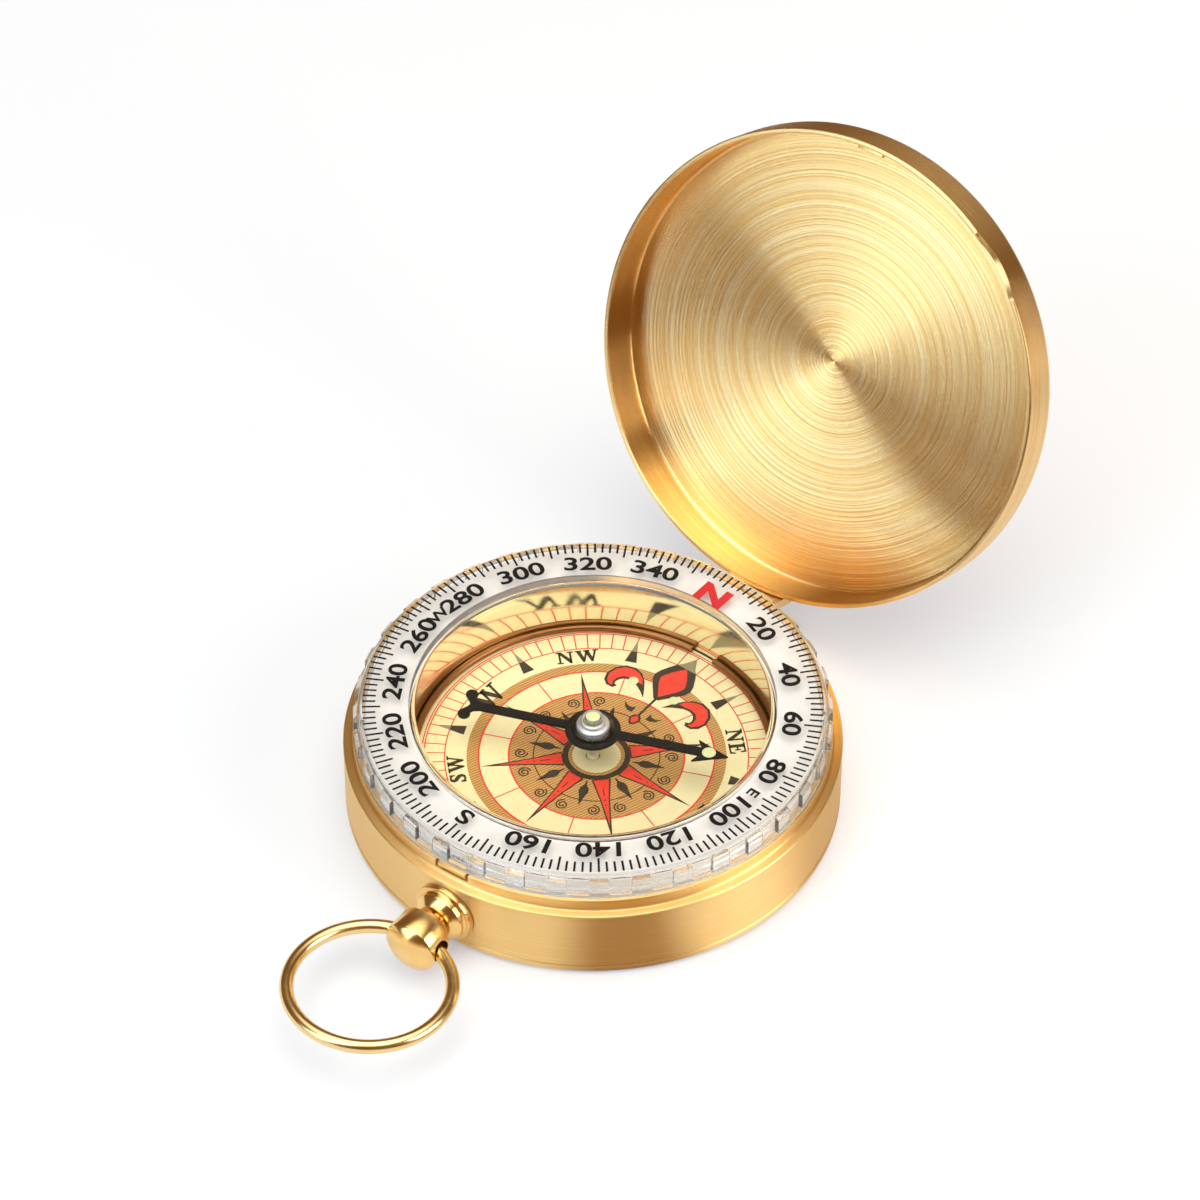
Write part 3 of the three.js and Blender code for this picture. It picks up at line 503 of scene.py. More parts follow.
def close_wire(ob):
    """Merges a wire's doubled points and closes any open ends."""
    weld(SAME_PLACE)
    bpy.ops.mesh.fill_holes(sides=0)
    face_outwards()
    return leave(ob)


def lay(ob, matrix):
    """Puts a piece in its place and applies that to its mesh."""
    ob.matrix_world = matrix @ ob.matrix_world
    select_only(ob)
    bpy.ops.object.transform_apply()
    return ob


def block(corner, opposite):
    """A box between two corners, as a cutting tool."""
    select_only()
    middle = [(a + b) / 2 * MM for a, b in zip(corner, opposite)]
    size = [(b - a) * MM for a, b in zip(corner, opposite)]
    bpy.ops.mesh.primitive_cube_add(size=1, location=middle, scale=size)
    bpy.ops.object.transform_apply()
    return bpy.context.object


def rod(radius, middle, depth, turn=(0, 0, 0), rounds=SMALL_ROUND):
    """A round bar about a middle, as a cutting tool."""
    select_only()
    bpy.ops.mesh.primitive_cylinder_add(
        vertices=rounds, radius=radius * MM, depth=depth * MM, location=Vector(middle) * MM, rotation=turn
    )
    bpy.ops.object.transform_apply()
    return bpy.context.object


def cut_away(ob, tool):
    """Cuts a tool away from a piece and removes the tool."""
    select_only(ob)
    bpy.ops.object.modifier_add(type="BOOLEAN")
    modifier = ob.modifiers[-1]
    modifier.operation = "DIFFERENCE"
    modifier.solver = "EXACT"
    modifier.object = tool
    bpy.ops.object.modifier_apply(modifier=modifier.name)
    bpy.data.objects.remove(tool)
    weld()
    return leave(ob)


def ease(ob, width, segments=2):
    """Bevels the sharp edges of a piece and welds points that the bevel leaves in one place."""
    select_only(ob)
    bpy.ops.object.modifier_add(type="BEVEL")
    modifier = ob.modifiers[-1]
    modifier.width = width * MM
    modifier.segments = segments
    modifier.limit_method = "ANGLE"
    modifier.angle_limit = math.radians(30)
    bpy.ops.object.modifier_apply(modifier=modifier.name)
    weld()
    return leave(ob)


def eased_copy(node, name, width):
    """A copy of a packed node with merged faces and eased edges."""
    ob = bpy.data.objects.new(name, frame["nodes"][node].data.copy())
    ob.data.name = name
    bpy.context.scene.collection.objects.link(ob)
    select_only(ob)
    weld()
    bpy.ops.mesh.dissolve_limited(angle_limit=math.radians(1))
    return ease(leave(ob), width)


def unite(name, pieces):
    """Joins pieces into one object with one name."""
    select_only(pieces[0])
    for piece in pieces:
        piece.select_set(True)
    bpy.ops.object.join()
    ob = bpy.context.object
    ob.name = ob.data.name = name
    return ob


def settle(ob, finish, body, slot, *nodes):
    """Keeps a piece's flats flat, gives it its finish and body, and hides the nodes it stands for."""
    select_only(ob)
    bpy.ops.object.modifier_add(type="WEIGHTED_NORMAL")
    ob.modifiers[-1].keep_sharp = True
    bpy.ops.object.modifier_apply(modifier=ob.modifiers[-1].name)
    ob.data.materials.clear()
    ob.data.materials.append(bpy.data.materials[finish])
    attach(ob, body)
    if nodes:
        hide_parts(*nodes)


def dress(node, finish):
    """Gives a packed node that stays a finish of its own."""
    materials = frame["nodes"][node].data.materials
    materials.clear()
    materials.append(bpy.data.materials[finish])


def paint_dot(node, body):
    """A low round drop of luminous paint in a packed dot's place."""
    corner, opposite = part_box(node)
    radius = (opposite.x - corner.x) / 2 / MM
    height = (opposite.z - corner.z) / MM
    dot = turned(node + "_paint", [
        (0, 0),
        (radius, 0),
        (0.94 * radius, 0.6 * height, 0.3 * height),
        (0, height),
    ], SMALL_ROUND)
    middle = (corner + opposite) / 2
    lay(dot, Matrix.Translation((middle.x, middle.y, corner.z)))
    settle(dot, "luminous paint", body, "lume_paint", node)


def lid_opening():
    """The matrix that swings a piece drawn on the shut lid to where the open lid stands."""
    hinge = joint("lid_hinge")
    pin = Vector(hinge["pos_m"])
    swing = Matrix.Rotation(-math.radians(hinge["range_deg"][1]), 4, "X")
    return Matrix.Translation(pin) @ swing @ Matrix.Translation(-pin)


def along_crown(height):
    """The matrix that lays a turned piece along the crown: heights become distances along -Y."""
    return Matrix.Translation((0, 0, height * MM)) @ Matrix.Rotation(math.radians(90), 4, "X")


def heading(turn, rise):
    """The direction at a turn from +X and a rise from level."""
    level = math.cos(rise)
    return Vector((math.cos(turn) * level, math.sin(turn) * level, math.sin(rise)))


def clockwise(turn):
    """A matrix for a turn by a bearing."""
    return Matrix.Rotation(-turn, 4, "Z")


def at_bearing(outline, degrees):
    """An outline drawn for north, turned to a bearing."""
    turn = Matrix.Rotation(-math.radians(degrees), 2)
    return [tuple(turn @ Vector(point)) for point in outline]


def bar(width, inner, outer):
    """A straight bar on the north line."""
    return [(-width / 2, inner), (width / 2, inner), (width / 2, outer), (-width / 2, outer)]


def mirrored(outline):
    """An outline with left and right swapped."""
    return [(-x, y) for x, y in outline]


def both_sides(side):
    """A closed outline from its right side, end to end. Points on the middle line are kept once."""
    return side + mirrored([point for point in side[::-1] if point[0]])


# Finishes


def add(tree, kind, inputs=None, **settings):
    """Adds a shader node. Inputs are set, or linked where the value is a socket."""
    node = tree.nodes.new(kind)
    for key, value in settings.items():
        setattr(node, key, value)
    for key, value in (inputs or {}).items():
        if isinstance(value, bpy.types.NodeSocket):
            tree.links.new(value, node.inputs[key])
        else:
            node.inputs[key].default_value = value
    return node


def new_finish(name):
    """A new material's tree, with nothing in it but object coordinates in metres."""
    material = bpy.data.materials.new(name)
    material.use_nodes = True
    tree = material.node_tree
    tree.nodes.clear()
    return tree, add(tree, "ShaderNodeTexCoord").outputs["Object"]


def show(tree, shader):
    """Ends a material's tree with a shader."""
    out = add(tree, "ShaderNodeOutputMaterial")
    tree.links.new(shader.outputs[0], out.inputs["Surface"])


def vector(tree, operation, *values, scale=None):
    """A vector node's result."""
    inputs = dict(enumerate(values))
    if scale is not None:
        inputs["Scale"] = scale
    node = add(tree, "ShaderNodeVectorMath", inputs, operation=operation)
    return node.outputs["Value" if operation in ("DOT_PRODUCT", "LENGTH") else "Vector"]


def number(tree, operation, *values):
    """A math node's result."""
    return add(tree, "ShaderNodeMath", dict(enumerate(values)), operation=operation).outputs[0]


def noise(tree, place, scale, detail=3.0, roughness=0.6):
    """A noise pattern's factor."""
    inputs = {"Vector": place, "Scale": scale, "Detail": detail, "Roughness": roughness}
    return add(tree, "ShaderNodeTexNoise", inputs).outputs["Fac"]


def spread(tree, value, start, end, first=0.3, last=0.7):
    """Maps a pattern's factor from first..last to start..end."""
    inputs = {"Value": value, "From Min": first, "From Max": last, "To Min": start, "To Max": end}
    return add(tree, "ShaderNodeMapRange", inputs).outputs["Result"]


def blend(tree, factor, first, second):
    """Mixes two colours by a factor."""
    node = add(tree, "ShaderNodeMix", {"Factor": factor}, data_type="RGBA")
    for socket, value in ((node.inputs[6], first), (node.inputs[7], second)):
        if isinstance(value, bpy.types.NodeSocket):
            tree.links.new(value, socket)
        else:
            socket.default_value = (*value, 1)
    return node.outputs[2]


def bump(tree, height, distance):
    """A normal from a height pattern. The distance is in millimetres."""
    return add(tree, "ShaderNodeBump", {"Height": height, "Distance": distance * MM}).outputs["Normal"]


def shade(tint, factor):
    """A colour times a factor."""
    return tuple(part * factor for part in tint)


def brushed_brass(name, tints, centre, axis, roughness, anisotropy, lines, depth, contrast):
    """Brass brushed in circles about an axis, with lines that gleam.

    Lines is the number of brush lines in a millimetre, depth their depth in millimetres and contrast how much
    brighter and smoother some lines are than the others.
    """
    tree, place = new_finish(name)
    offset = vector(tree, "SUBTRACT", place, centre)
    along = vector(tree, "DOT_PRODUCT", offset, axis)
    radial = vector(tree, "SUBTRACT", offset, vector(tree, "SCALE", axis, scale=along))
    reach = vector(tree, "LENGTH", radial)
    arcs = vector(tree, "SCALE", vector(tree, "NORMALIZE", radial), scale=0.32)
    across = number(tree, "ADD", reach, along)
    patterns = []
    for share in (1.0, 0.55, 0.2):
        rows = number(tree, "MULTIPLY", across, share * lines / MM)
        cell = vector(tree, "ADD", arcs, vector(tree, "SCALE", axis, scale=rows))
        patterns.append(noise(tree, cell, 1.0, 1.0, 0.5))
    fine, middle, broad = patterns
    grain = number(tree, "ADD", fine, middle)
    cloud = noise(tree, place, 160.0)
    bright = spread(tree, number(tree, "MULTIPLY_ADD", broad, 0.15, grain), 0, contrast, 0.8, 1.4)
    tangent = add(
        tree, "ShaderNodeVectorTransform", {0: vector(tree, "CROSS_PRODUCT", axis, radial)},
        vector_type="VECTOR", convert_from="OBJECT", convert_to="WORLD",
    ).outputs[0]
    rough = spread(tree, cloud, roughness, roughness + 0.03)
    shader = add(tree, "ShaderNodeBsdfPrincipled", {
        "Base Color": blend(tree, bright, *tints),
        "Metallic": 1.0,
        "Roughness": number(tree, "MULTIPLY_ADD", bright, -0.07, rough),
        "Anisotropic": anisotropy,
        "Anisotropic Rotation": 0.25,
        "Tangent": tangent,
        "Normal": bump(tree, grain, depth),
    })
    show(tree, shader)


def polished_metal(name, tint, roughness):
    """Bright metal with fine scratches and faint smears."""
    tree, place = new_finish(name)
    smear = noise(tree, place, 260.0, 4.0)
    stretched = add(
        tree, "ShaderNodeMapping", {"Vector": place, "Rotation": (0.3, 0.5, 0.2), "Scale": (1, 14, 14)}
    )
    scratch = noise(tree, stretched.outputs[0], 900.0, 5.0, 0.75)
    shader = add(tree, "ShaderNodeBsdfPrincipled", {
        "Base Color": blend(tree, spread(tree, smear, 0, 1), shade(tint, 0.9), tint),
        "Metallic": 1.0,
        "Roughness": spread(tree, smear, roughness - 0.04, roughness + 0.06),
        "Normal": bump(tree, scratch, 0.001),
    })
    show(tree, shader)


def clear_acrylic(name, tint, roughness, waves, gloss=1.0, matt=None):
    """Clear moulded acrylic with faint flow waves. Lamps reach what lies behind it.

    A gloss under 1 dims what it mirrors face on, as a hard coat does. Where matt gives two radii in
    millimetres, the bore's wall and the skirt are left matt from the tool.
    """
    tree, place = new_finish(name)
    flow = noise(tree, place, 420.0, 2.0)
    if matt:
        reach = vector(tree, "LENGTH", vector(tree, "MULTIPLY", place, (1, 1, 0)))
        bore = spread(tree, reach, 0.38, 0, (matt[0] + 0.1) * MM, (matt[0] + 0.3) * MM)
        skirt = spread(tree, reach, roughness, 0.2, (matt[1] - 0.05) * MM, (matt[1] + 0.05) * MM)
        roughness = number(tree, "ADD", bore, skirt)
    shader = add(tree, "ShaderNodeBsdfPrincipled", {
        "Base Color": blend(tree, spread(tree, flow, 0, 1), shade(tint, 0.985), tint),
        "Roughness": roughness,
        "IOR": 1.49,
        "Specular Tint": (gloss, gloss, gloss, 1),
        "Transmission Weight": 1.0,
        "Normal": bump(tree, flow, waves),
    })
    light = add(tree, "ShaderNodeLightPath")
    passing = number(tree, "MAXIMUM", light.outputs["Is Shadow Ray"], light.outputs["Is Diffuse Ray"])
    through = add(tree, "ShaderNodeBsdfTransparent", {"Color": (*tint, 1)})
    show(tree, add(tree, "ShaderNodeMixShader", {0: passing, 1: shader.outputs[0], 2: through.outputs[0]}))


def fine_grained(name, tint, roughness, grain, depth, mottle=0.9, gloss=0.5):
    """Paint, plastic or print with a fine grain and a mottled tone. Grain is in cells to a millimetre."""
    tree, place = new_finish(name)
    cells = noise(tree, place, grain / MM)
    cloud = noise(tree, place, 0.12 * grain / MM, 2.0)
    shader = add(tree, "ShaderNodeBsdfPrincipled", {
        "Base Color": blend(tree, spread(tree, cloud, 0, 1), shade(tint, mottle), tint),
        "Roughness": spread(tree, cells, roughness - 0.06, roughness + 0.06),
        "Specular IOR Level": gloss,
        "Normal": bump(tree, cells, depth),
    })
    show(tree, shader)


def hatched_print(name, light, dark):
    """Ochre print made of fine slanting strokes."""
    tree, place = new_finish(name)
    turned_place = add(tree, "ShaderNodeMapping", {"Vector": place, "Rotation": (0, 0, 0.4)}).outputs[0]
    strokes = add(
        tree, "ShaderNodeTexWave",
        {"Vector": turned_place, "Scale": 1.05 / MM, "Distortion": 1.2, "Detail": 2.0, "Detail Scale": 2.0},
        wave_type="BANDS", bands_direction="X",
    ).outputs["Fac"]
    cloud = noise(tree, place, 700.0)
    tone = blend(tree, spread(tree, strokes, 0, 1, 0.15, 0.75), dark, light)
    shader = add(tree, "ShaderNodeBsdfPrincipled", {
        "Base Color": blend(tree, spread(tree, cloud, 0, 0.2), tone, light),
        "Roughness": 0.55,
        "Normal": bump(tree, strokes, 0.002),
    })
    show(tree, shader)


class COMPASS_OT_finishes(bpy.types.Operator):
    """Mixes the finishes of all the pieces"""

    bl_idname = "compass.finishes"
    bl_label = "Finishes"
    bl_options = {"REGISTER", "UNDO"}

    def execute(self, context):
        colours = context.scene.compass_colours
        opening = lid_opening()
        lid_middle = tuple(opening @ Vector((0, 0, 0)))
        lid_axis = tuple(opening.to_3x3() @ Vector(UP))
        crown_middle = (0, 0, context.scene.compass_crown.height)
        bezel = in_mm(context.scene.compass_bezel)
        brass = colours.satin, colours.gleam
        brushed_brass("satin brass", brass, (0, 0, 0), UP, roughness=0.4, anisotropy=0.85, lines=14,
                      depth=0.004, contrast=0.3)
        # The lid's tint is painted shade: a more saturated copy of the case's brass, brushed in circles
        spun = colours.spun, colours.gleam
        brushed_brass("spun brass", spun, lid_middle, lid_axis, roughness=0.25, anisotropy=1.0, lines=5.5,
                      depth=0.04, contrast=0.5)
        brushed_brass("turned brass", brass, crown_middle, (0, -1, 0), roughness=0.19, anisotropy=0.4,
                      lines=12, depth=0.001, contrast=0.2)
        polished_metal("polished brass", colours.polished, 0.2)
        polished_metal("bronze", colours.bronze, 0.3)
        polished_metal("steel", colours.steel, 0.22)
        polished_metal("bright sleeve", colours.mirror, 0.08)
        clear_acrylic("clear crystal", colours.acrylic, 0.0, 0.0005, gloss=0.35)
        matt = bezel.bore, bezel.radius - bezel.chamfer
        clear_acrylic("clear bezel", colours.acrylic, 0.02, 0.002, matt=matt)
        clear_acrylic("clear hub", colours.acrylic, 0.05, 0.001)
        fine_grained("pearly plastic", colours.pearl, 0.42, 9, 0.002, 0.95)
        fine_grained("cream card", colours.cream, 0.6, 6, 0.002, 0.95)
        hatched_print("ochre print", colours.ochre, colours.brown)
        fine_grained("red print", colours.red, 0.5, 8, 0.002, 0.85, 0.25)
        fine_grained("dark print", colours.ink, 0.5, 8, 0.002, 0.7, 0.25)
        fine_grained("thin print", colours.thin_ink, 0.5, 8, 0.002, 0.85)
        fine_grained("black scale", colours.scale, 0.35, 8, 0.002, 0.6, 0.2)
        fine_grained("red scale", colours.north, 0.35, 8, 0.002, 0.85)
        fine_grained("luminous paint", colours.lume, 0.6, 7, 0.01, 0.92)
        fine_grained("black paint", colours.needle, 0.36, 5, 0.004, 0.6, 0.2)
        return {"FINISHED"}


class COMPASS_OT_stage(bpy.types.Operator):
    """Sets the camera, two softboxes, the surrounding light and a pale floor"""

    bl_idname = "compass.stage"
    bl_label = "Stage"
    bl_options = {"REGISTER", "UNDO"}

    def execute(self, context):
        scene = context.scene
        stage = scene.compass_stage
        self.camera(scene, stage)
        key = self.softbox("left softbox", stage.key_turn, stage.key_rise, stage.reach, stage.key_roll)
        key.size, key.size_y, key.energy = stage.key_width, stage.key_height, stage.key_power
        key.color = stage.key_colour
        side = self.softbox("right softbox", stage.side_turn, stage.side_rise, stage.reach)
        side.size, side.size_y, side.energy = stage.side_size, stage.side_size, stage.side_power
        self.world(scene, stage)
        self.floor(stage)
        scene.view_settings.view_transform = "Standard"
        return {"FINISHED"}

    def camera(self, scene, stage):
        """Stands the camera off its target and turns it to face it."""
        select_only()
        back = heading(stage.azimuth - math.pi / 2, stage.elevation)
        place = Vector(stage.target) + back * stage.distance
        turn = (math.pi / 2 - stage.elevation, 0, stage.azimuth)
        bpy.ops.object.camera_add(location=place, rotation=turn)
        camera = bpy.context.object
        camera.name = "camera"
        camera.data.lens = stage.lens
        camera.data.sensor_width = 36
        camera.data.clip_start = 0.01
        scene.camera = camera

    def softbox(self, name, turn, rise, distance, roll=0.0):
        """A rectangular lamp that faces the compass, and the lamp's own data."""
        select_only()
        towards = heading(turn, rise)
        bpy.ops.object.light_add(type="AREA", location=towards * distance)
        lamp = bpy.context.object
        lamp.name = name
        lamp.rotation_euler = (towards.to_track_quat("Z", "Y") @ Quaternion(UP, roll)).to_euler()
        lamp.data.shape = "RECTANGLE"
        return lamp.data

    def world(self, scene, stage):
        """Surroundings that are dim and warm low down and bright overhead."""
        world = bpy.data.worlds.new("studio")
        world.use_nodes = True
        scene.world = world
        tree = world.node_tree
        tree.nodes.clear()
        way = add(tree, "ShaderNodeTexCoord").outputs["Generated"]
        height = add(tree, "ShaderNodeSeparateXYZ", {0: way}).outputs["Z"]
        tone = blend(tree, spread(tree, height, 0, 1, 0.74, 0.97), stage.horizon, stage.overhead)
        light = add(tree, "ShaderNodeBackground", {"Color": tone, "Strength": stage.ambient})
        out = add(tree, "ShaderNodeOutputWorld")
        tree.links.new(light.outputs[0], out.inputs["Surface"])

    def card(self, tree, place, turn, width, strength):
        """How far a dark card, with soft edges and at a turn from +X, covers a place on the floor."""
        middle = (math.cos(turn), math.sin(turn), 0)
        facing = vector(tree, "DOT_PRODUCT", vector(tree, "NORMALIZE", place), middle)
        return spread(tree, facing, 0, strength, math.cos(1.3 * width), math.cos(0.5 * width))

    def floor(self, stage):
        """A pale sheet on a brown floor. It is seen as white, and the case mirrors two dark cards."""
        select_only()
        bpy.ops.mesh.primitive_plane_add(size=stage.floor_size, location=(0, 0, -stage.floor_drop))
        floor = bpy.context.object
        floor.name = "floor"
        tree, place = new_finish("pale floor")
        grain = noise(tree, place, 60.0)
        reach = vector(tree, "LENGTH", place)
        sheet = blend(tree, spread(tree, grain, 0, 1), shade(stage.floor, 0.98), stage.floor)
        front = self.card(tree, place, stage.card_turn, stage.card_width, 0.9)
        side = self.card(tree, place, stage.side_card_turn, stage.side_card_width, 0.5)
        beside = number(tree, "MAXIMUM", front, side)
        beyond = spread(tree, reach, 0, 1, stage.sheet, 1.5 * stage.sheet)
        around = blend(tree, beyond, blend(tree, beside, sheet, stage.card), stage.floor_edge)
        light = add(tree, "ShaderNodeLightPath").outputs
        tone = blend(tree, light["Is Camera Ray"], around, sheet)
        paint = add(tree, "ShaderNodeBsdfDiffuse", {"Color": tone})
        mirrored = number(tree, "MAXIMUM", light["Is Glossy Ray"], light["Is Transmission Ray"])
        pale = number(tree, "SUBTRACT", 1.0, number(tree, "MAXIMUM", beyond, beside))
        seen = number(tree, "MAXIMUM", light["Is Camera Ray"], number(tree, "MULTIPLY", mirrored, pale))
        lift = vector(tree, "SUBTRACT", stage.floor_white, tone)
        glow = add(tree, "ShaderNodeEmission", {"Color": lift, "Strength": seen})
        show(tree, add(tree, "ShaderNodeAddShader", {0: paint.outputs[0], 1: glow.outputs[0]}))
        floor.data.materials.append(bpy.data.materials["pale floor"])


class COMPASS_OT_case(bpy.types.Operator):
    """Turns the brass case with its scribed line, ledge and coved rim, and the carrier ring inside it"""

    bl_idname = "compass.case"
    bl_label = "Case"
    bl_options = {"REGISTER", "UNDO"}

    def execute(self, context):
        case = in_mm(context.scene.compass_case)
        crown = in_mm(context.scene.compass_crown)
        self.shell(case, crown)
        self.carrier(case)
        return {"FINISHED"}

    def shell(self, case, crown):
        """The cup with its bore for the crown's stem and its slot for the latch."""
        half_groove = case.groove_width / 2
        shell = turned("case_body", [
            (0, 0),
            (case.radius - case.edge, 0, 0.2),
            (case.radius, case.edge, 0.2),
            (case.radius, case.groove_height - half_groove, 0.04),
            (case.radius - case.groove_depth, case.groove_height, 0.06),
            (case.radius, case.groove_height + half_groove, 0.04),
            (case.radius, case.ledge, 0.2),
            (case.rim, case.ledge, 0.3),
            (case.rim, case.rim_top, 0.12),
            (case.bore, case.rim_top, 0.1),
            (case.bore, case.floor),
            (0, case.floor),
        ])
        cut_away(shell, rod(crown.bore, (0, -case.radius, crown.height), 6, (math.pi / 2, 0, 0)))
        cut_away(shell, block(
            (-case.slot, -case.radius - 1, case.slot_low), (case.slot, 1 - case.bore, case.rim_top + 1)
        ))
        settle(shell, "satin brass", "case", "satin_brass", "case_shell")

    def carrier(self, case):
        """The ring that fills the case, with pockets for the latch and its spring."""
        carrier = turned("carrier_body", [
            (case.carrier_bore, case.floor),
            (case.carrier, case.floor),
            (case.carrier, case.carrier_step, 0.1),
            (case.run, case.carrier_step),
            (case.run, case.run_top),
            (case.carrier_neck, case.run_top),
            (case.carrier_neck, case.carrier_top),
            (case.carrier_bore, case.carrier_top),
        ])
        front = -case.radius - 1
        cut_away(carrier, block(
            (-case.pocket, front, case.pocket_low), (case.pocket, -case.spring_back, case.spring_top)
        ))
        cut_away(carrier, block(
            (-case.pocket, front, case.pocket_low), (case.pocket, -case.pocket_back, case.carrier_step)
        ))
        settle(carrier, "pearly plastic", "case", "luminous_white", "carrier_ring")


class COMPASS_OT_lid(bpy.types.Operator):
    """Spins the lid's cup with its centre mark and thumb notch, and hangs the catch in it"""

    bl_idname = "compass.lid"
    bl_label = "Lid"
    bl_options = {"REGISTER", "UNDO"}

    def execute(self, context):
        lid = in_mm(context.scene.compass_lid)
        ceiling = lid.top - lid.wall
        bore = lid.radius - lid.wall
        cup = turned("lid_cup", [
            (0, ceiling + lid.mark / 2),
            (lid.mark / 2, ceiling + lid.mark / 2, 0.03),
            (lid.mark, ceiling, 0.05),
            (bore, ceiling, lid.fillet),
            (bore, lid.mouth, 0.12),
            (lid.radius, lid.mouth, 0.12),
            (lid.radius, lid.top, lid.edge),
            (0, lid.top),
        ])
        select_only()
        scoop = heading(lid.notch_turn, 0) * lid.radius
        scoop.z = lid.mouth + lid.notch_rise - lid.notch
        bpy.ops.mesh.primitive_uv_sphere_add(
            segments=SMALL_ROUND, ring_count=SMALL_ROUND // 2, radius=lid.notch * MM, location=scoop * MM
        )
        cut_away(cup, bpy.context.object)
        lay(cup, lid_opening())
        settle(cup, "spun brass", "lid", "satin_brass", "lid_shell")
        foot = lid.mouth + lid.catch_rise
        catch = ease(block(
            (-lid.catch_width / 2, -bore - lid.catch_root, foot),
            (lid.catch_width / 2, lid.catch_depth - bore, foot + lid.catch_height),
        ), 0.12, 4)
        catch.name = catch.data.name = "lid_catch_bar"
        lay(catch, lid_opening())
        settle(catch, "spun brass", "lid", "satin_brass", "lid_catch")
        return {"FINISHED"}


class COMPASS_OT_hinge(bpy.types.Operator):
    """Eases the hinge's leaves and knuckles and sets the pin"""

    bl_idname = "compass.hinge"
    bl_label = "Hinge"
    bl_options = {"REGISTER", "UNDO"}

    def execute(self, context):
        right = eased_copy("case_hinge_right", "case_hinge_right_leaf", 0.08)
        left = self.mirrored(right, "case_hinge_left_leaf")
        settle(right, "satin brass", "case", "satin_brass", "case_hinge_right")
        settle(left, "satin brass", "case", "satin_brass", "case_hinge_left")
        strap = eased_copy("lid_hinge_leaf", "lid_hinge_strap", 0.08)
        settle(strap, "spun brass", "lid", "satin_brass", "lid_hinge_leaf")
        pin = eased_copy("hinge_pin", "hinge_pin_rod", 0.08)
        settle(pin, "steel", "case", "steel", "hinge_pin")
        return {"FINISHED"}

    def mirrored(self, ob, name):
        """A copy of a piece on the other side of the hinge's middle."""
        select_only(ob)
        bpy.ops.object.duplicate()
        copy = bpy.context.object
        copy.name = copy.data.name = name
        lay(copy, Matrix.Diagonal((-1, 1, 1, 1)))
        weld()
        face_outwards()
        return leave(copy)


class COMPASS_OT_capsule(bpy.types.Operator):
    """Turns the capsule with its bright sleeve, the crystal, the pearly ring and the split snap ring"""

    bl_idname = "compass.capsule"
    bl_label = "Capsule"
    bl_options = {"REGISTER", "UNDO"}

    def execute(self, context):
        capsule = in_mm(context.scene.compass_capsule)
        web_top = low("dial_card")
        cup = turned("capsule_wall", [
            (0, web_top - capsule.web),
            (capsule.bore, web_top - capsule.web),
            (capsule.bore, capsule.foot),
            (capsule.radius, capsule.foot),
            (capsule.radius, capsule.crystal_low),
            (capsule.bore, capsule.crystal_low),
            (capsule.bore, web_top),
            (0, web_top),
        ])
        settle(cup, "clear crystal", "case", "clear_acrylic", "capsule_cup")
        self.sleeve(capsule, high("dial_card"))
        self.crystal(capsule)
        self.pearly_ring(capsule)
        wire = ring_of_wire(
            "snap_wire", capsule.wire_radius, capsule.wire, math.tau - capsule.wire_gap, ROUND, 20
        )
        turn = clockwise(capsule.wire_turn + capsule.wire_gap / 2)
        lay(wire, Matrix.Translation((0, 0, (high("dial_card") + capsule.wire / 2) * MM)) @ turn)
        settle(wire, "bronze", "case", "bronze_wire", "dial_snap_ring")
        return {"FINISHED"}

    def sleeve(self, capsule, foot):
        """The bright sleeve lines the capsule's bore and shows the dial mirrored in its wall."""
        outer = capsule.bore - capsule.sleeve_gap
        inner = outer - capsule.sleeve
        sleeve = turned("capsule_sleeve", [
            (inner, foot), (outer, foot), (outer, capsule.sleeve_top), (inner, capsule.sleeve_top),
        ])
        settle(sleeve, "bright sleeve", "case", "steel")

    def crystal(self, capsule):
        """The clear disc stands on its flange and has a bevelled edge."""
        flange_top = capsule.crystal_low + capsule.flange
        disc = turned("crystal_disc", [
            (0, capsule.crystal_low),
            (capsule.radius, capsule.crystal_low, 0.05),
            (capsule.radius, flange_top, 0.05),
            (capsule.boss, flange_top),
            (capsule.boss, capsule.crystal_top - capsule.bevel_height, 0.06),
            (capsule.boss - capsule.bevel_width, capsule.crystal_top, 0.08),
            (0, capsule.crystal_top),
        ])
        settle(disc, "clear crystal", "case", "clear_acrylic", "crystal")

    def pearly_ring(self, capsule):
        """The flat ring that shows white under the bezel."""
        bottom, top = low("luminous_ring"), high("luminous_ring")
        ring = turned("pearly_ring", [
            (capsule.pearl_bore, bottom, 0.04),
            (capsule.pearl, bottom, 0.04),
            (capsule.pearl, top, 0.06),
            (capsule.pearl_bore, top, 0.06),
        ])
        settle(ring, "pearly plastic", "case", "luminous_white", "luminous_ring")


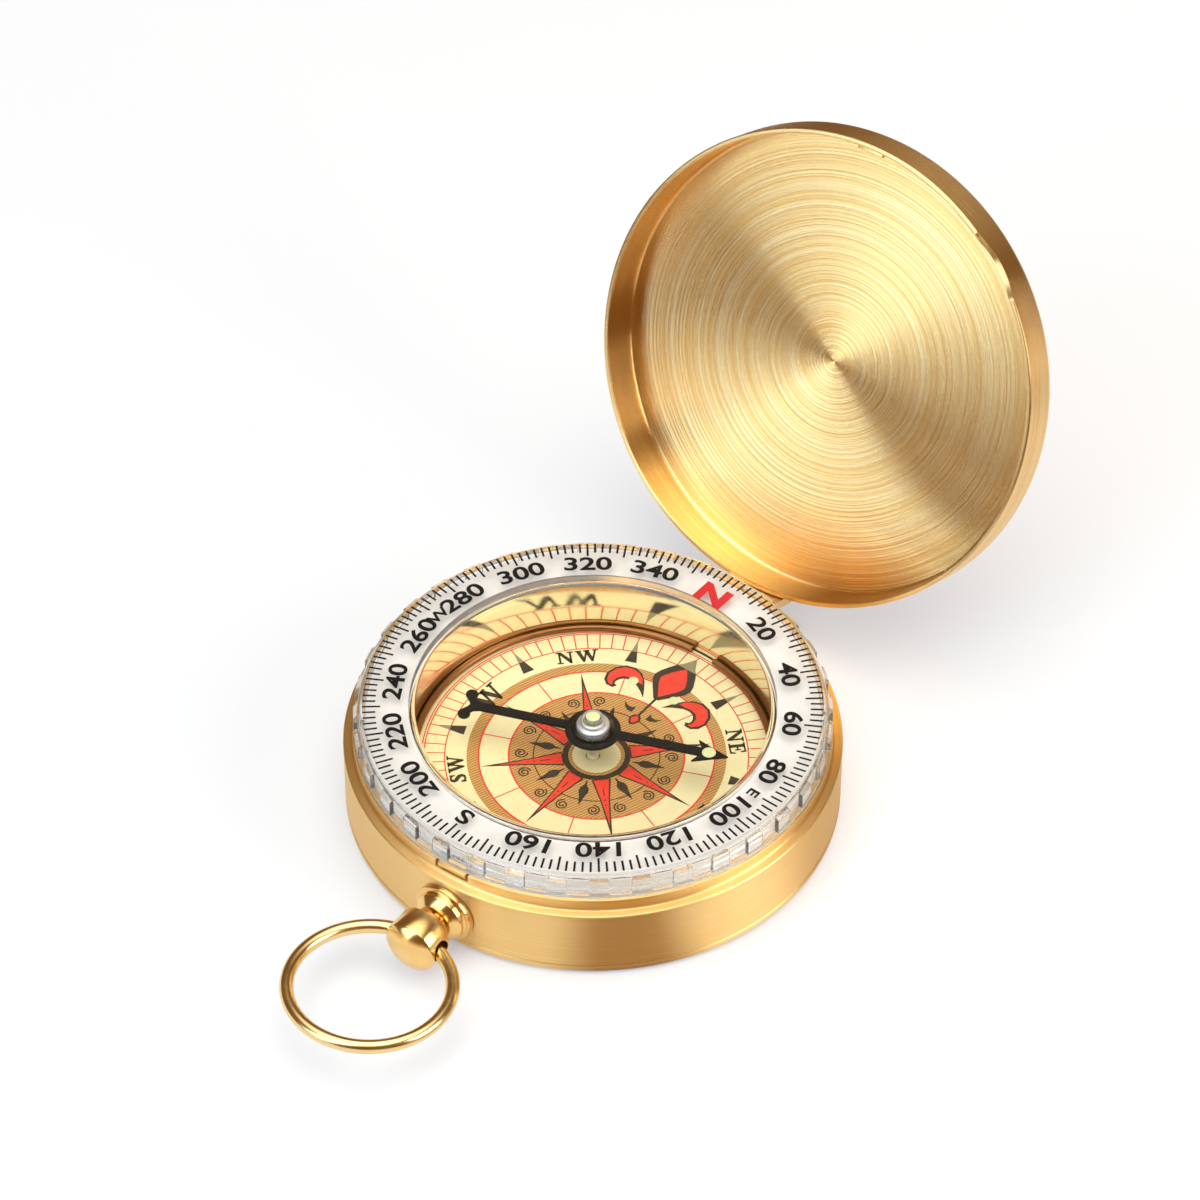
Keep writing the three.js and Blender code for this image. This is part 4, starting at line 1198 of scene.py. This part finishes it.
class COMPASS_OT_bezel(bpy.types.Operator):
    """Turns the clear bezel and cuts its finger notches"""

    bl_idname = "compass.bezel"
    bl_label = "Bezel"
    bl_options = {"REGISTER", "UNDO"}

    def execute(self, context):
        bezel = in_mm(context.scene.compass_bezel)
        underside = bezel.top - bezel.plate
        skirt = bezel.radius - bezel.skirt
        bead_top = bezel.bottom + bezel.bead_height
        ring = turned("bezel_body", [
            (bezel.bore, underside, 0.08),
            (skirt, underside, 0.15),
            (skirt, bead_top, 0.08),
            (skirt - bezel.bead, bead_top, 0.08),
            (skirt - bezel.bead, bezel.bottom, 0.08),
            (bezel.radius, bezel.bottom, 0.12),
            (bezel.radius, bezel.top - bezel.shoulder, 0.15),
            (bezel.radius - bezel.chamfer, bezel.top, 0.12),
            (bezel.bore, bezel.top, 0.2),
        ], 10 * TENS)
        floor = bezel.radius - bezel.notch_depth
        tools = begin("notch_tools")
        notch = at_bearing(bar(bezel.notch_width, floor, bezel.radius + bezel.notch_depth), 180 / TENS)
        fill(notch, bezel.bottom + bezel.notch_sill, TENS)
        thicken(bezel.top - bezel.bottom)
        cut_away(ring, leave(tools))
        ease(ring, 0.07)
        lay(ring, clockwise(bezel.turn))
        settle(ring, "clear bezel", "bezel", "clear_acrylic", "bezel_ring")
        return {"FINISHED"}


class COMPASS_OT_bezel_scale(bpy.types.Operator):
    """Prints the ticks, numerals and letters on the bezel"""

    bl_idname = "compass.bezel_scale"
    bl_label = "Bezel scale"
    bl_options = {"REGISTER", "UNDO"}

    WIDE = 1.3  # width of the letters against the font's own
    CAP = 0.75  # height of a capital against the font's size
    BOLD, HEAVY = 0.03, 0.07  # how far a stroke is spread, against the letter's height

    def execute(self, context):
        bezel = in_mm(context.scene.compass_bezel)
        self.face = bezel.top + bezel.lift
        self.paint = bezel.paint
        self.ticks(bezel)
        marks = [(str(mark), mark, 1.0) for mark in range(20, 360, 20) if mark != 180]
        marks += [("S", 180, 1.0), ("E", 90, 0.62), ("W", 270, 0.7)]
        numerals = unite("bezel_numerals", [
            self.label(text, mark, share * bezel.numeral, bezel.numeral_radius, self.BOLD)
            for text, mark, share in marks
        ])
        self.lay_print(numerals, bezel, "black scale")
        north = unite("bezel_north", [self.label("N", 0, bezel.north, bezel.north_radius, self.HEAVY)])
        self.lay_print(north, bezel, "red scale")
        return {"FINISHED"}

    def lay_print(self, ob, bezel, finish):
        """Turns a print with the bezel and settles it there."""
        lay(ob, clockwise(bezel.turn))
        settle(ob, finish, "bezel", "black_paint")

    def ticks(self, bezel):
        """One ten degree group of ticks, copied round."""
        ticks = begin("bezel_ticks")
        for step in range(5):
            inner = bezel.tick_outer - (bezel.short_tick if step else bezel.long_tick)
            fill(at_bearing(bar(bezel.tick_width, inner, bezel.tick_outer), 2 * step), self.face, TENS)
        thicken(self.paint)
        self.lay_print(leave(ticks), bezel, "black scale")

    def label(self, text, mark, cap, radius, weight):
        """A wide bold numeral or letter at a bearing, its top outwards, as a mesh."""
        select_only()
        bpy.ops.object.text_add()
        ob = bpy.context.object
        ob.data.body = text
        ob.data.size = cap / self.CAP * MM
        ob.data.offset = weight * cap * MM
        ob.data.extrude = self.paint / 2 * MM
        ob.data.resolution_u = 6
        bpy.ops.object.convert(target="MESH")
        ob = bpy.context.object
        left, right = (ob.bound_box[corner][0] for corner in (0, 6))
        foot, head = (ob.bound_box[corner][1] for corner in (0, 6))
        centred = Matrix.Translation((-(left + right) / 2, -(foot + head) / 2, 0))
        place = Matrix.Translation((0, radius * MM, (self.face + self.paint / 2) * MM))
        lay(ob, clockwise(math.radians(mark)) @ place @ Matrix.Diagonal((self.WIDE, 1, 1, 1)) @ centred)
        weld(SAME_PLACE)
        face_outwards()
        return leave(ob)


class COMPASS_OT_dial(bpy.types.Operator):
    """Cuts the dial's card and sets the luminous dots and the pivot"""

    bl_idname = "compass.dial"
    bl_label = "Dial"
    bl_options = {"REGISTER", "UNDO"}

    def execute(self, context):
        dial = in_mm(context.scene.compass_dial)
        bottom = low("dial_card")
        card = turned("dial_sheet", [
            (dial.hole, bottom),
            (dial.radius, bottom, 0.03),
            (dial.radius, dial.top, 0.03),
            (dial.hole, dial.top, 0.03),
        ])
        settle(card, "cream card", "case", "dial_print", "dial_card")
        for node in ("dial_lume_dot_left", "dial_lume_dot_right"):
            paint_dot(node, "case")
        seat = eased_copy("pivot_base", "pivot_seat", 0.05)
        settle(seat, "cream card", "case", "dial_print", "pivot_base")
        dress("pivot_pin", "steel")
        return {"FINISHED"}


def ribbon(points):
    """An outline round a middle line of (x, y, half width)."""
    left, right = [], []
    for i, (x, y, half) in enumerate(points):
        before, after = points[max(i - 1, 0)], points[min(i + 1, len(points) - 1)]
        run = Vector((after[0] - before[0], after[1] - before[1])).normalized()
        left.append((x - run.y * half, y + run.x * half))
        right.append((x + run.y * half, y - run.x * half))
    return left + right[::-1]


def patch(left, foot, right, head):
    """An upright rectangle."""
    return [(left, foot), (right, foot), (right, head), (left, head)]


# Serif letters on a cap height of 1: (width, outlines)
SERIF = {
    "N": (1.06, [
        patch(0.13, 0.0, 0.26, 1.0),
        patch(0.8, 0.0, 0.93, 1.0),
        [(0.06, 1.0), (0.32, 1.0), (0.93, 0.24), (0.93, 0.0), (0.8, 0.0)],
        patch(0.0, 0.0, 0.39, 0.1),
        patch(0.0, 0.9, 0.28, 1.0),
        patch(0.67, 0.9, 1.06, 1.0),
    ]),
    "E": (0.88, [
        patch(0.12, 0.0, 0.36, 1.0),
        [(0.0, 0.89), (0.66, 0.89), (0.71, 0.66), (0.8, 0.66), (0.8, 1.0), (0.0, 1.0)],
        [(0.0, 0.0), (0.84, 0.0), (0.88, 0.36), (0.79, 0.36), (0.69, 0.11), (0.0, 0.11)],
        patch(0.36, 0.46, 0.54, 0.57),
        patch(0.52, 0.34, 0.62, 0.7),
    ]),
    "W": (1.46, [
        [(0.07, 0.96), (0.34, 0.96), (0.53, 0.36), (0.52, 0.0), (0.42, 0.0)],
        [(0.42, 0.0), (0.54, 0.0), (0.81, 0.96), (0.67, 0.96)],
        [(0.58, 0.96), (0.85, 0.96), (1.04, 0.36), (1.03, 0.0), (0.93, 0.0)],
        [(0.93, 0.0), (1.05, 0.0), (1.34, 0.96), (1.2, 0.96)],
        patch(0.0, 0.9, 0.42, 1.0),
        patch(0.52, 0.9, 0.93, 1.0),
        patch(1.1, 0.9, 1.46, 1.0),
    ]),
    "S": (0.72, [
        ribbon([
            (0.6, 0.76, 0.06), (0.54, 0.89, 0.06), (0.37, 0.94, 0.065), (0.21, 0.9, 0.095),
            (0.15, 0.78, 0.12), (0.21, 0.64, 0.125), (0.37, 0.53, 0.13), (0.53, 0.41, 0.125),
            (0.58, 0.26, 0.12), (0.52, 0.11, 0.09), (0.34, 0.06, 0.065), (0.17, 0.11, 0.06),
            (0.1, 0.26, 0.06),
        ]),
        patch(0.55, 0.66, 0.65, 1.0),
        patch(0.04, 0.0, 0.14, 0.34),
    ]),
}


class COMPASS_OT_dial_print(bpy.types.Operator):
    """Prints the dial: rings, tick ladder, star, leaves, scrolls, lily and letters"""

    bl_idname = "compass.dial_print"
    bl_label = "Dial print"
    bl_options = {"REGISTER", "UNDO"}

    def execute(self, context):
        dial = self.dial = in_mm(context.scene.compass_dial)
        self.place = Matrix.Translation((dial.shift_x * MM, dial.shift_y * MM, 0)) @ clockwise(dial.turn)
        iris = dial.eye + 0.4
        self.sheet("print_ochre", "ochre print", 0, [
            (3.0, dial.disc), (dial.band_inner, dial.band_outer), (dial.eye, iris),
        ])
        self.red_rules()
        leaf = both_sides([(0.06, 3.7), (0.14, 4.3), (0.46, 4.75), (0.5, 5.2), (0.24, 6.0), (0.05, 7.0)])
        self.sheet("print_leaves", "dark print", 1, [(iris, iris + 0.6), (6.3, 6.42)], [
            self.between(leaf), self.on_winds(self.scroll(1), 34.6), self.on_winds(self.scroll(-1), 55.4),
        ])
        ray = both_sides([(0, dial.ray), (0.5, 6.3), (0.98, 3.4)])
        wedge = both_sides([(0.31, dial.ladder_inner), (0.62, 13.7)])
        dark = [self.on_winds(ray), self.between(wedge)]
        dark += [(outline,) for outline in self.lily_edges() + self.letters()]
        self.sheet("print_star", "dark print", 2, [], dark)
        spike = [(-0.31, dial.ladder_inner), (0, 16.9), (0.31, dial.ladder_inner)]
        crest = both_sides([(0, 17.05), (0.35, 16.4), (0.78, 15.65), (1.17, dial.ladder_inner)])
        self.sheet("print_tips", "thin print", 2, [], [self.between(spike), (crest,)])
        core = both_sides([(0, 9.9), (0.37, 6.2), (0.78, 3.5)])
        red = [self.on_winds(core)] + [(outline,) for outline in self.lily_fills()]
        self.sheet("print_red_star", "red print", 3, [], red)
        marks = [bar(0.11, 4.7, 5.7), bar(0.14, 6.25, 6.42), bar(0.14, 6.9, 7.07)]
        self.sheet("print_marks", "dark print", 4, [], [self.on_winds(mark) for mark in marks])
        return {"FINISHED"}

    def on_winds(self, outline, first=360 / WINDS):
        """An outline copied to every wind but north, where the lily stands."""
        return at_bearing(outline, first), WINDS - 1, WINDS

    def between(self, outline):
        """An outline copied between the winds."""
        return at_bearing(outline, 180 / WINDS), WINDS

    def sheet(self, name, finish, layer, rings=(), outlines=()):
        """Prints flat rings and outlines with their copies as one thin piece."""
        height = self.dial.top + self.dial.lift + layer * self.dial.layer
        ob = begin(name)
        for inner, outer in rings:
            draw([(0, inner, height), (0, outer, height)])
            spin_round(ROUND)
        for outline, *copies in outlines:
            fill(outline, height, *copies)
        thicken(0.8 * self.dial.layer)
        leave(ob)
        lay(ob, self.place)
        settle(ob, finish, "case", "dial_print")

    def red_rules(self):
        """The red circles, the ladder's ticks and the spokes."""
        dial = self.dial
        half = dial.rule / 2
        circles = [
            (dial.disc - half, dial.disc + 2 * half),
            (dial.band_inner - 3 * half, dial.band_inner),
            (dial.ladder_inner - half, dial.ladder_inner + half),
            (dial.ladder_outer - half, dial.ladder_outer + half),
            (dial.ladder_outer + 3 * half, dial.ladder_outer + 5 * half),
        ]
        tick = bar(dial.rule, dial.ladder_inner, dial.ladder_outer)
        spoke = bar(dial.rule, dial.disc, dial.band_inner - half)
        self.sheet("print_red_rules", "red print", 1, circles, [(tick, dial.rungs), self.between(spoke)])

    def scroll(self, hand):
        """A spiral stroke near the disc's border, drawn for north."""
        turns, steps = 1.85, 40
        line = []
        for step in range(steps + 1):
            turn = math.tau * turns * step / steps - math.pi / 2
            reach = 0.68 - 0.56 * step / steps
            line.append((hand * reach * math.cos(turn), 7.62 + reach * math.sin(turn), 0.08))
        return ribbon(line)

    def lily_edges(self):
        """Dark shapes of the lily: middle petal, side petals, stem, bud and curls."""
        petal = both_sides([
            (1.17, self.dial.ladder_inner), (1.6, 14.5), (2.05, 13.6), (2.25, 12.8), (2.05, 12.15),
            (1.5, 11.4), (0.85, 10.6), (0.3, 9.9),
        ])
        hook = [
            (1.15, 9.3), (1.75, 10.3), (2.45, 11.3), (3.3, 12.05), (4.3, 12.3), (5.3, 12.0), (6.05, 11.1),
            (6.25, 10.0), (5.95, 9.1), (5.3, 8.6), (4.55, 8.65), (4.35, 9.1), (4.7, 9.2), (4.8, 9.55),
            (4.65, 10.0), (4.3, 10.4), (3.75, 10.55), (3.1, 10.5), (2.5, 10.2), (1.9, 9.85),
        ]
        stem = bar(0.26, 7.1, 10.0)
        bud = both_sides([(0, 7.25), (0.5, 6.75), (0.62, 6.3), (0.35, 5.75), (0, 5.45)])
        curl = [(0.85, 7.0), (1.35, 6.95), (1.9, 7.25), (2.35, 7.9), (1.75, 7.55), (1.25, 7.55), (0.95, 7.9)]
        return [petal, hook, mirrored(hook), stem, bud, curl, mirrored(curl)]

    def lily_fills(self):
        """Red shapes of the lily."""
        petal = both_sides([
            (0, 15.3), (0.42, 14.75), (0.95, 14.0), (1.35, 13.2), (1.45, 12.75), (1.2, 12.05), (0.7, 11.3),
            (0, 10.3),
        ])
        hook = [
            (2.3, 10.75), (2.75, 11.4), (3.5, 11.88), (4.3, 12.05), (5.15, 11.78), (5.8, 11.0), (6.0, 10.05),
            (5.7, 9.3), (5.2, 8.85), (4.75, 8.9), (5.05, 9.4), (4.95, 10.1), (4.5, 10.65), (3.85, 10.82),
            (3.0, 10.75),
        ]
        bud = both_sides([(0, 7.0), (0.4, 6.4), (0.25, 5.95), (0, 5.75)])
        return [petal, hook, mirrored(hook), bud]

    def letters(self):
        """Serif letters of the winds, tops outwards, with the chief winds larger."""
        dial = self.dial
        words = {45: "NE", 90: "E", 135: "SE", 180: "S", 225: "SW", 270: "W", 315: "NW"}
        gap = 0.1
        outlines = []
        for bearing, word in words.items():
            cap, radius = (dial.wind, 13.7) if len(word) == 1 else (dial.half_wind, 14.15)
            pen = -(sum(SERIF[letter][0] for letter in word) + gap * (len(word) - 1)) / 2
            for letter in word:
                width, strokes = SERIF[letter]
                for stroke in strokes:
                    points = [((x + pen) * cap, radius + (y - 0.5) * cap) for x, y in stroke]
                    outlines.append(at_bearing(points, bearing))
                pen += width + gap
        return outlines


class COMPASS_OT_needle(bpy.types.Operator):
    """Cuts the needle and stands the hub, its jewel and the luminous dots on it"""

    bl_idname = "compass.needle"
    bl_label = "Needle"
    bl_options = {"REGISTER", "UNDO"}

    def execute(self, context):
        needle = in_mm(context.scene.compass_needle)
        blade = begin("needle_blade")
        fill(self.outline(needle), needle.bottom)
        thicken(needle.top - needle.bottom)
        leave(blade)
        cut_away(blade, rod(needle.hole, (0, 0, needle.bottom), 4))
        ease(blade, 0.05)
        lay(blade, clockwise(needle.bearing))
        settle(blade, "black paint", "needle", "black_paint", "needle")
        self.hub(needle)
        for node in ("needle_lume_dot", "hub_lume_dot"):
            paint_dot(node, "needle")
        dress("jewel_bearing", "steel")
        return {"FINISHED"}

    def outline(self, needle):
        """The needle seen from above, pointing north."""
        arm = needle.arm / 2
        barb = needle.head / 2
        start = math.asin(arm / needle.ring)
        arc = [start + (math.pi - 2 * start) * step / 32 for step in range(33)]
        side = [
            (0, needle.tip), (0.37 * barb, needle.tip - 1.35), (barb, needle.tip - 3.45),
            (0.62 * barb, needle.tip - 3.1), (arm, needle.tip - 2.95),
        ]
        side += [(needle.ring * math.sin(turn), needle.ring * math.cos(turn)) for turn in arc]
        side += [(arm, 2.0 - needle.tail), (0.72, 1.4 - needle.tail)]
        lobe = Vector((needle.lobe_spread, needle.lobe - needle.tail, 0))
        for step in range(11):
            edge = lobe + heading(math.radians(125 - 25 * step), 0) * needle.lobe
            side.append((edge.x, edge.y))
        side += [(0.35, 0.72 - needle.tail), (0, 0.85 - needle.tail)]
        return both_sides(side)

    def hub(self, needle):
        """The clear hub steps in twice from flange to button, round a bright bush of the same steps."""
        foot = needle.top
        step = (needle.hub - needle.button) / 5
        lower, upper = needle.hub - 2 * step, needle.hub - 4 * step
        rim, first, second = (foot + rise for rise in (needle.hub_rim, needle.hub_first, needle.hub_second))
        roof = needle.hub_top - needle.hub_roof
        hub = turned("hub_cap", [
            (needle.hub_bore, foot),
            (needle.hub, foot, 0.05),
            (needle.hub, rim, 0.12),
            (lower, rim + 0.08, 0.06),
            (lower, first, 0.1),
            (upper, first + 0.1, 0.06),
            (upper, second, 0.08),
            (needle.button, second + 0.05, 0.03),
            (needle.button, needle.hub_top, 0.1),
            (0, needle.hub_top),
            (0, roof),
            (needle.hub_bore, roof, 0.06),
        ], SMALL_ROUND)
        settle(hub, "clear hub", "needle", "clear_acrylic", "needle_hub")
        skin = needle.hub_skin
        bore = needle.hub_bore + 0.02
        bush = turned("hub_bush", [
            (bore, foot + skin),
            (lower - skin, foot + skin),
            (lower - skin, first - skin, 0.08),
            (upper - skin, first + 0.1 - skin, 0.06),
            (upper - skin, second - skin, 0.08),
            (bore, second + 0.05 - skin),
        ], SMALL_ROUND)
        settle(bush, "steel", "needle", "steel")


class COMPASS_OT_crown(bpy.types.Operator):
    """Turns the neck and the crown's head, and bores the cross hole"""

    bl_idname = "compass.crown"
    bl_label = "Crown"
    bl_options = {"REGISTER", "UNDO"}

    def execute(self, context):
        crown = in_mm(context.scene.compass_crown)
        self.neck(crown, in_mm(context.scene.compass_case).radius)
        self.head(crown)
        stem = eased_copy("crown_stem", "crown_rod", 0.05)
        settle(stem, "turned brass", "crown", "polished_brass", "crown_stem")
        return {"FINISHED"}

    def neck(self, crown, wall):
        """The bush that stands on the case's wall and is hollowed to fit it."""
        root = wall - 0.6
        neck = turned("neck_bush", [
            (crown.bore, root),
            (crown.flange, root),
            (crown.flange, crown.flange_end, 0.08),
            (crown.drum + 0.1, crown.flange_end, 0.03),
            (crown.drum, crown.flange_end + 0.12, 0.03),
            (crown.drum, crown.drum_end, 0.08),
            (crown.neck, crown.neck_end, 0.08),
            (crown.bore, crown.neck_end, 0.08),
        ], SMALL_ROUND)
        lay(neck, along_crown(crown.height))
        cut_away(neck, rod(wall + 0.1, (0, 0, crown.height), 20, rounds=ROUND))
        settle(neck, "turned brass", "case", "polished_brass", "pendant_neck")

    def head(self, crown):
        """The push button: a collar, a barrel with a cross hole and a dome that is a cap of a ball."""
        top = crown.head_end + crown.dome
        ball = (crown.head ** 2 + crown.dome ** 2) / (2 * crown.dome)
        rim = math.asin(crown.head / ball)
        steps = 8
        slopes = [rim * step / steps for step in range(steps - 1, 0, -1)]
        dome = [(ball * math.sin(slope), top - ball * (1 - math.cos(slope))) for slope in slopes]
        head = turned("crown_knob", [
            (0, crown.collar_start),
            (crown.collar, crown.collar_start, 0.08),
            (crown.collar, crown.collar_end, 0.05),
            (crown.head, crown.head_start, 0.12),
            (crown.head, crown.head_end, 0.12),
            *dome,
            (0, top),
        ], SMALL_ROUND)
        lay(head, along_crown(crown.height))
        hole = (crown.head_start + crown.head_end) / 2
        cut_away(head, rod(crown.hole, (0, -hole, crown.height), 12, (0, math.pi / 2, 0)))
        ease(head, 0.06)
        settle(head, "turned brass", "crown", "polished_brass", "crown_head")


class COMPASS_OT_latch(bpy.types.Operator):
    """Eases the latch plate and winds the return spring"""

    bl_idname = "compass.latch"
    bl_label = "Latch"
    bl_options = {"REGISTER", "UNDO"}

    def execute(self, context):
        plate = eased_copy("latch_plate", "latch_tab", 0.06)
        settle(plate, "satin brass", "crown", "satin_brass", "latch_plate")
        self.spring(in_mm(context.scene.compass_crown))
        return {"FINISHED"}

    def spring(self, crown):
        """The return spring is wound from round wire over the length of its packed node."""
        inner, outer = -high("crown_spring", 1), -low("crown_spring", 1)
        spring = begin("return_spring")
        bpy.ops.mesh.primitive_circle_add(
            vertices=12, radius=crown.spring_wire / 2 * MM, rotation=(math.pi / 2, 0, 0),
            location=(crown.spring * MM, 0, (inner + crown.spring_wire / 2) * MM),
        )
        leave(spring)
        bpy.ops.object.modifier_add(type="SCREW")
        coil = spring.modifiers[-1]
        coil.iterations = crown.spring_turns
        coil.screw_offset = (outer - inner - crown.spring_wire) / crown.spring_turns * MM
        coil.steps = coil.render_steps = SMALL_ROUND
        bpy.ops.object.modifier_apply(modifier=coil.name)
        lay(close_wire(spring), along_crown(crown.height))
        settle(spring, "steel", "case", "steel", "crown_spring")
        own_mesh(spring)


class COMPASS_OT_bow(bpy.types.Operator):
    """Bends the bow ring from round wire"""

    bl_idname = "compass.bow"
    bl_label = "Bow ring"
    bl_options = {"REGISTER", "UNDO"}

    def execute(self, context):
        crown = in_mm(context.scene.compass_crown)
        ring = ring_of_wire("bow_wire", crown.bow, crown.wire, math.tau, ROUND, 32)
        sag = crown.bow - math.sqrt(crown.bow ** 2 - crown.head ** 2)
        reach = crown.bow - sag / 2
        hole = Matrix.Translation(Vector(joint("bow_swing")["pos_m"]))
        lay(ring, hole @ Matrix.Rotation(-crown.lift, 4, "X") @ Matrix.Translation((0, -reach * MM, 0)))
        settle(ring, "polished brass", "bow", "polished_brass", "bow_ring")
        return {"FINISHED"}


OPERATORS = (
    COMPASS_OT_stage, COMPASS_OT_finishes, COMPASS_OT_case, COMPASS_OT_lid, COMPASS_OT_hinge,
    COMPASS_OT_capsule, COMPASS_OT_bezel, COMPASS_OT_bezel_scale, COMPASS_OT_dial, COMPASS_OT_dial_print,
    COMPASS_OT_needle, COMPASS_OT_crown, COMPASS_OT_latch, COMPASS_OT_bow,
)
GROUPS = {
    "compass_case": CaseSizes,
    "compass_lid": LidSizes,
    "compass_bezel": BezelSizes,
    "compass_capsule": CapsuleSizes,
    "compass_dial": DialSizes,
    "compass_needle": NeedleSizes,
    "compass_crown": CrownSizes,
    "compass_colours": CompassColours,
    "compass_stage": StageSettings,
}


class COMPASS_PT_panel(bpy.types.Panel):
    """Lists the operators and settings of the compass"""

    bl_idname = "COMPASS_PT_panel"
    bl_label = "Pocket compass"
    bl_space_type = "VIEW_3D"
    bl_region_type = "UI"
    bl_category = "Compass"

    def draw(self, context):
        for kind in OPERATORS:
            self.layout.operator(kind.bl_idname)
        for name, group in GROUPS.items():
            box = self.layout.box()
            box.label(text=group.__doc__)
            for field in group.__annotations__:
                box.prop(getattr(context.scene, name), field)


CLASSES = (*GROUPS.values(), *OPERATORS, COMPASS_PT_panel)


def register():
    """Registers the classes and hangs the settings on the scene."""
    for kind in CLASSES:
        bpy.utils.register_class(kind)
    for name, group in GROUPS.items():
        setattr(bpy.types.Scene, name, PointerProperty(type=group))


def unregister():
    """Takes the settings off the scene and unregisters the classes."""
    for name in GROUPS:
        delattr(bpy.types.Scene, name)
    for kind in reversed(CLASSES):
        bpy.utils.unregister_class(kind)


def main():
    """Builds the stage, the finishes and every piece."""
    register()
    bpy.ops.compass.stage()
    bpy.ops.compass.finishes()
    bpy.ops.compass.case()
    bpy.ops.compass.lid()
    bpy.ops.compass.hinge()
    bpy.ops.compass.capsule()
    bpy.ops.compass.bezel()
    bpy.ops.compass.bezel_scale()
    bpy.ops.compass.dial()
    bpy.ops.compass.dial_print()
    bpy.ops.compass.needle()
    bpy.ops.compass.crown()
    bpy.ops.compass.latch()
    bpy.ops.compass.bow()
    select_only()


if __name__ == "__main__":
    main()
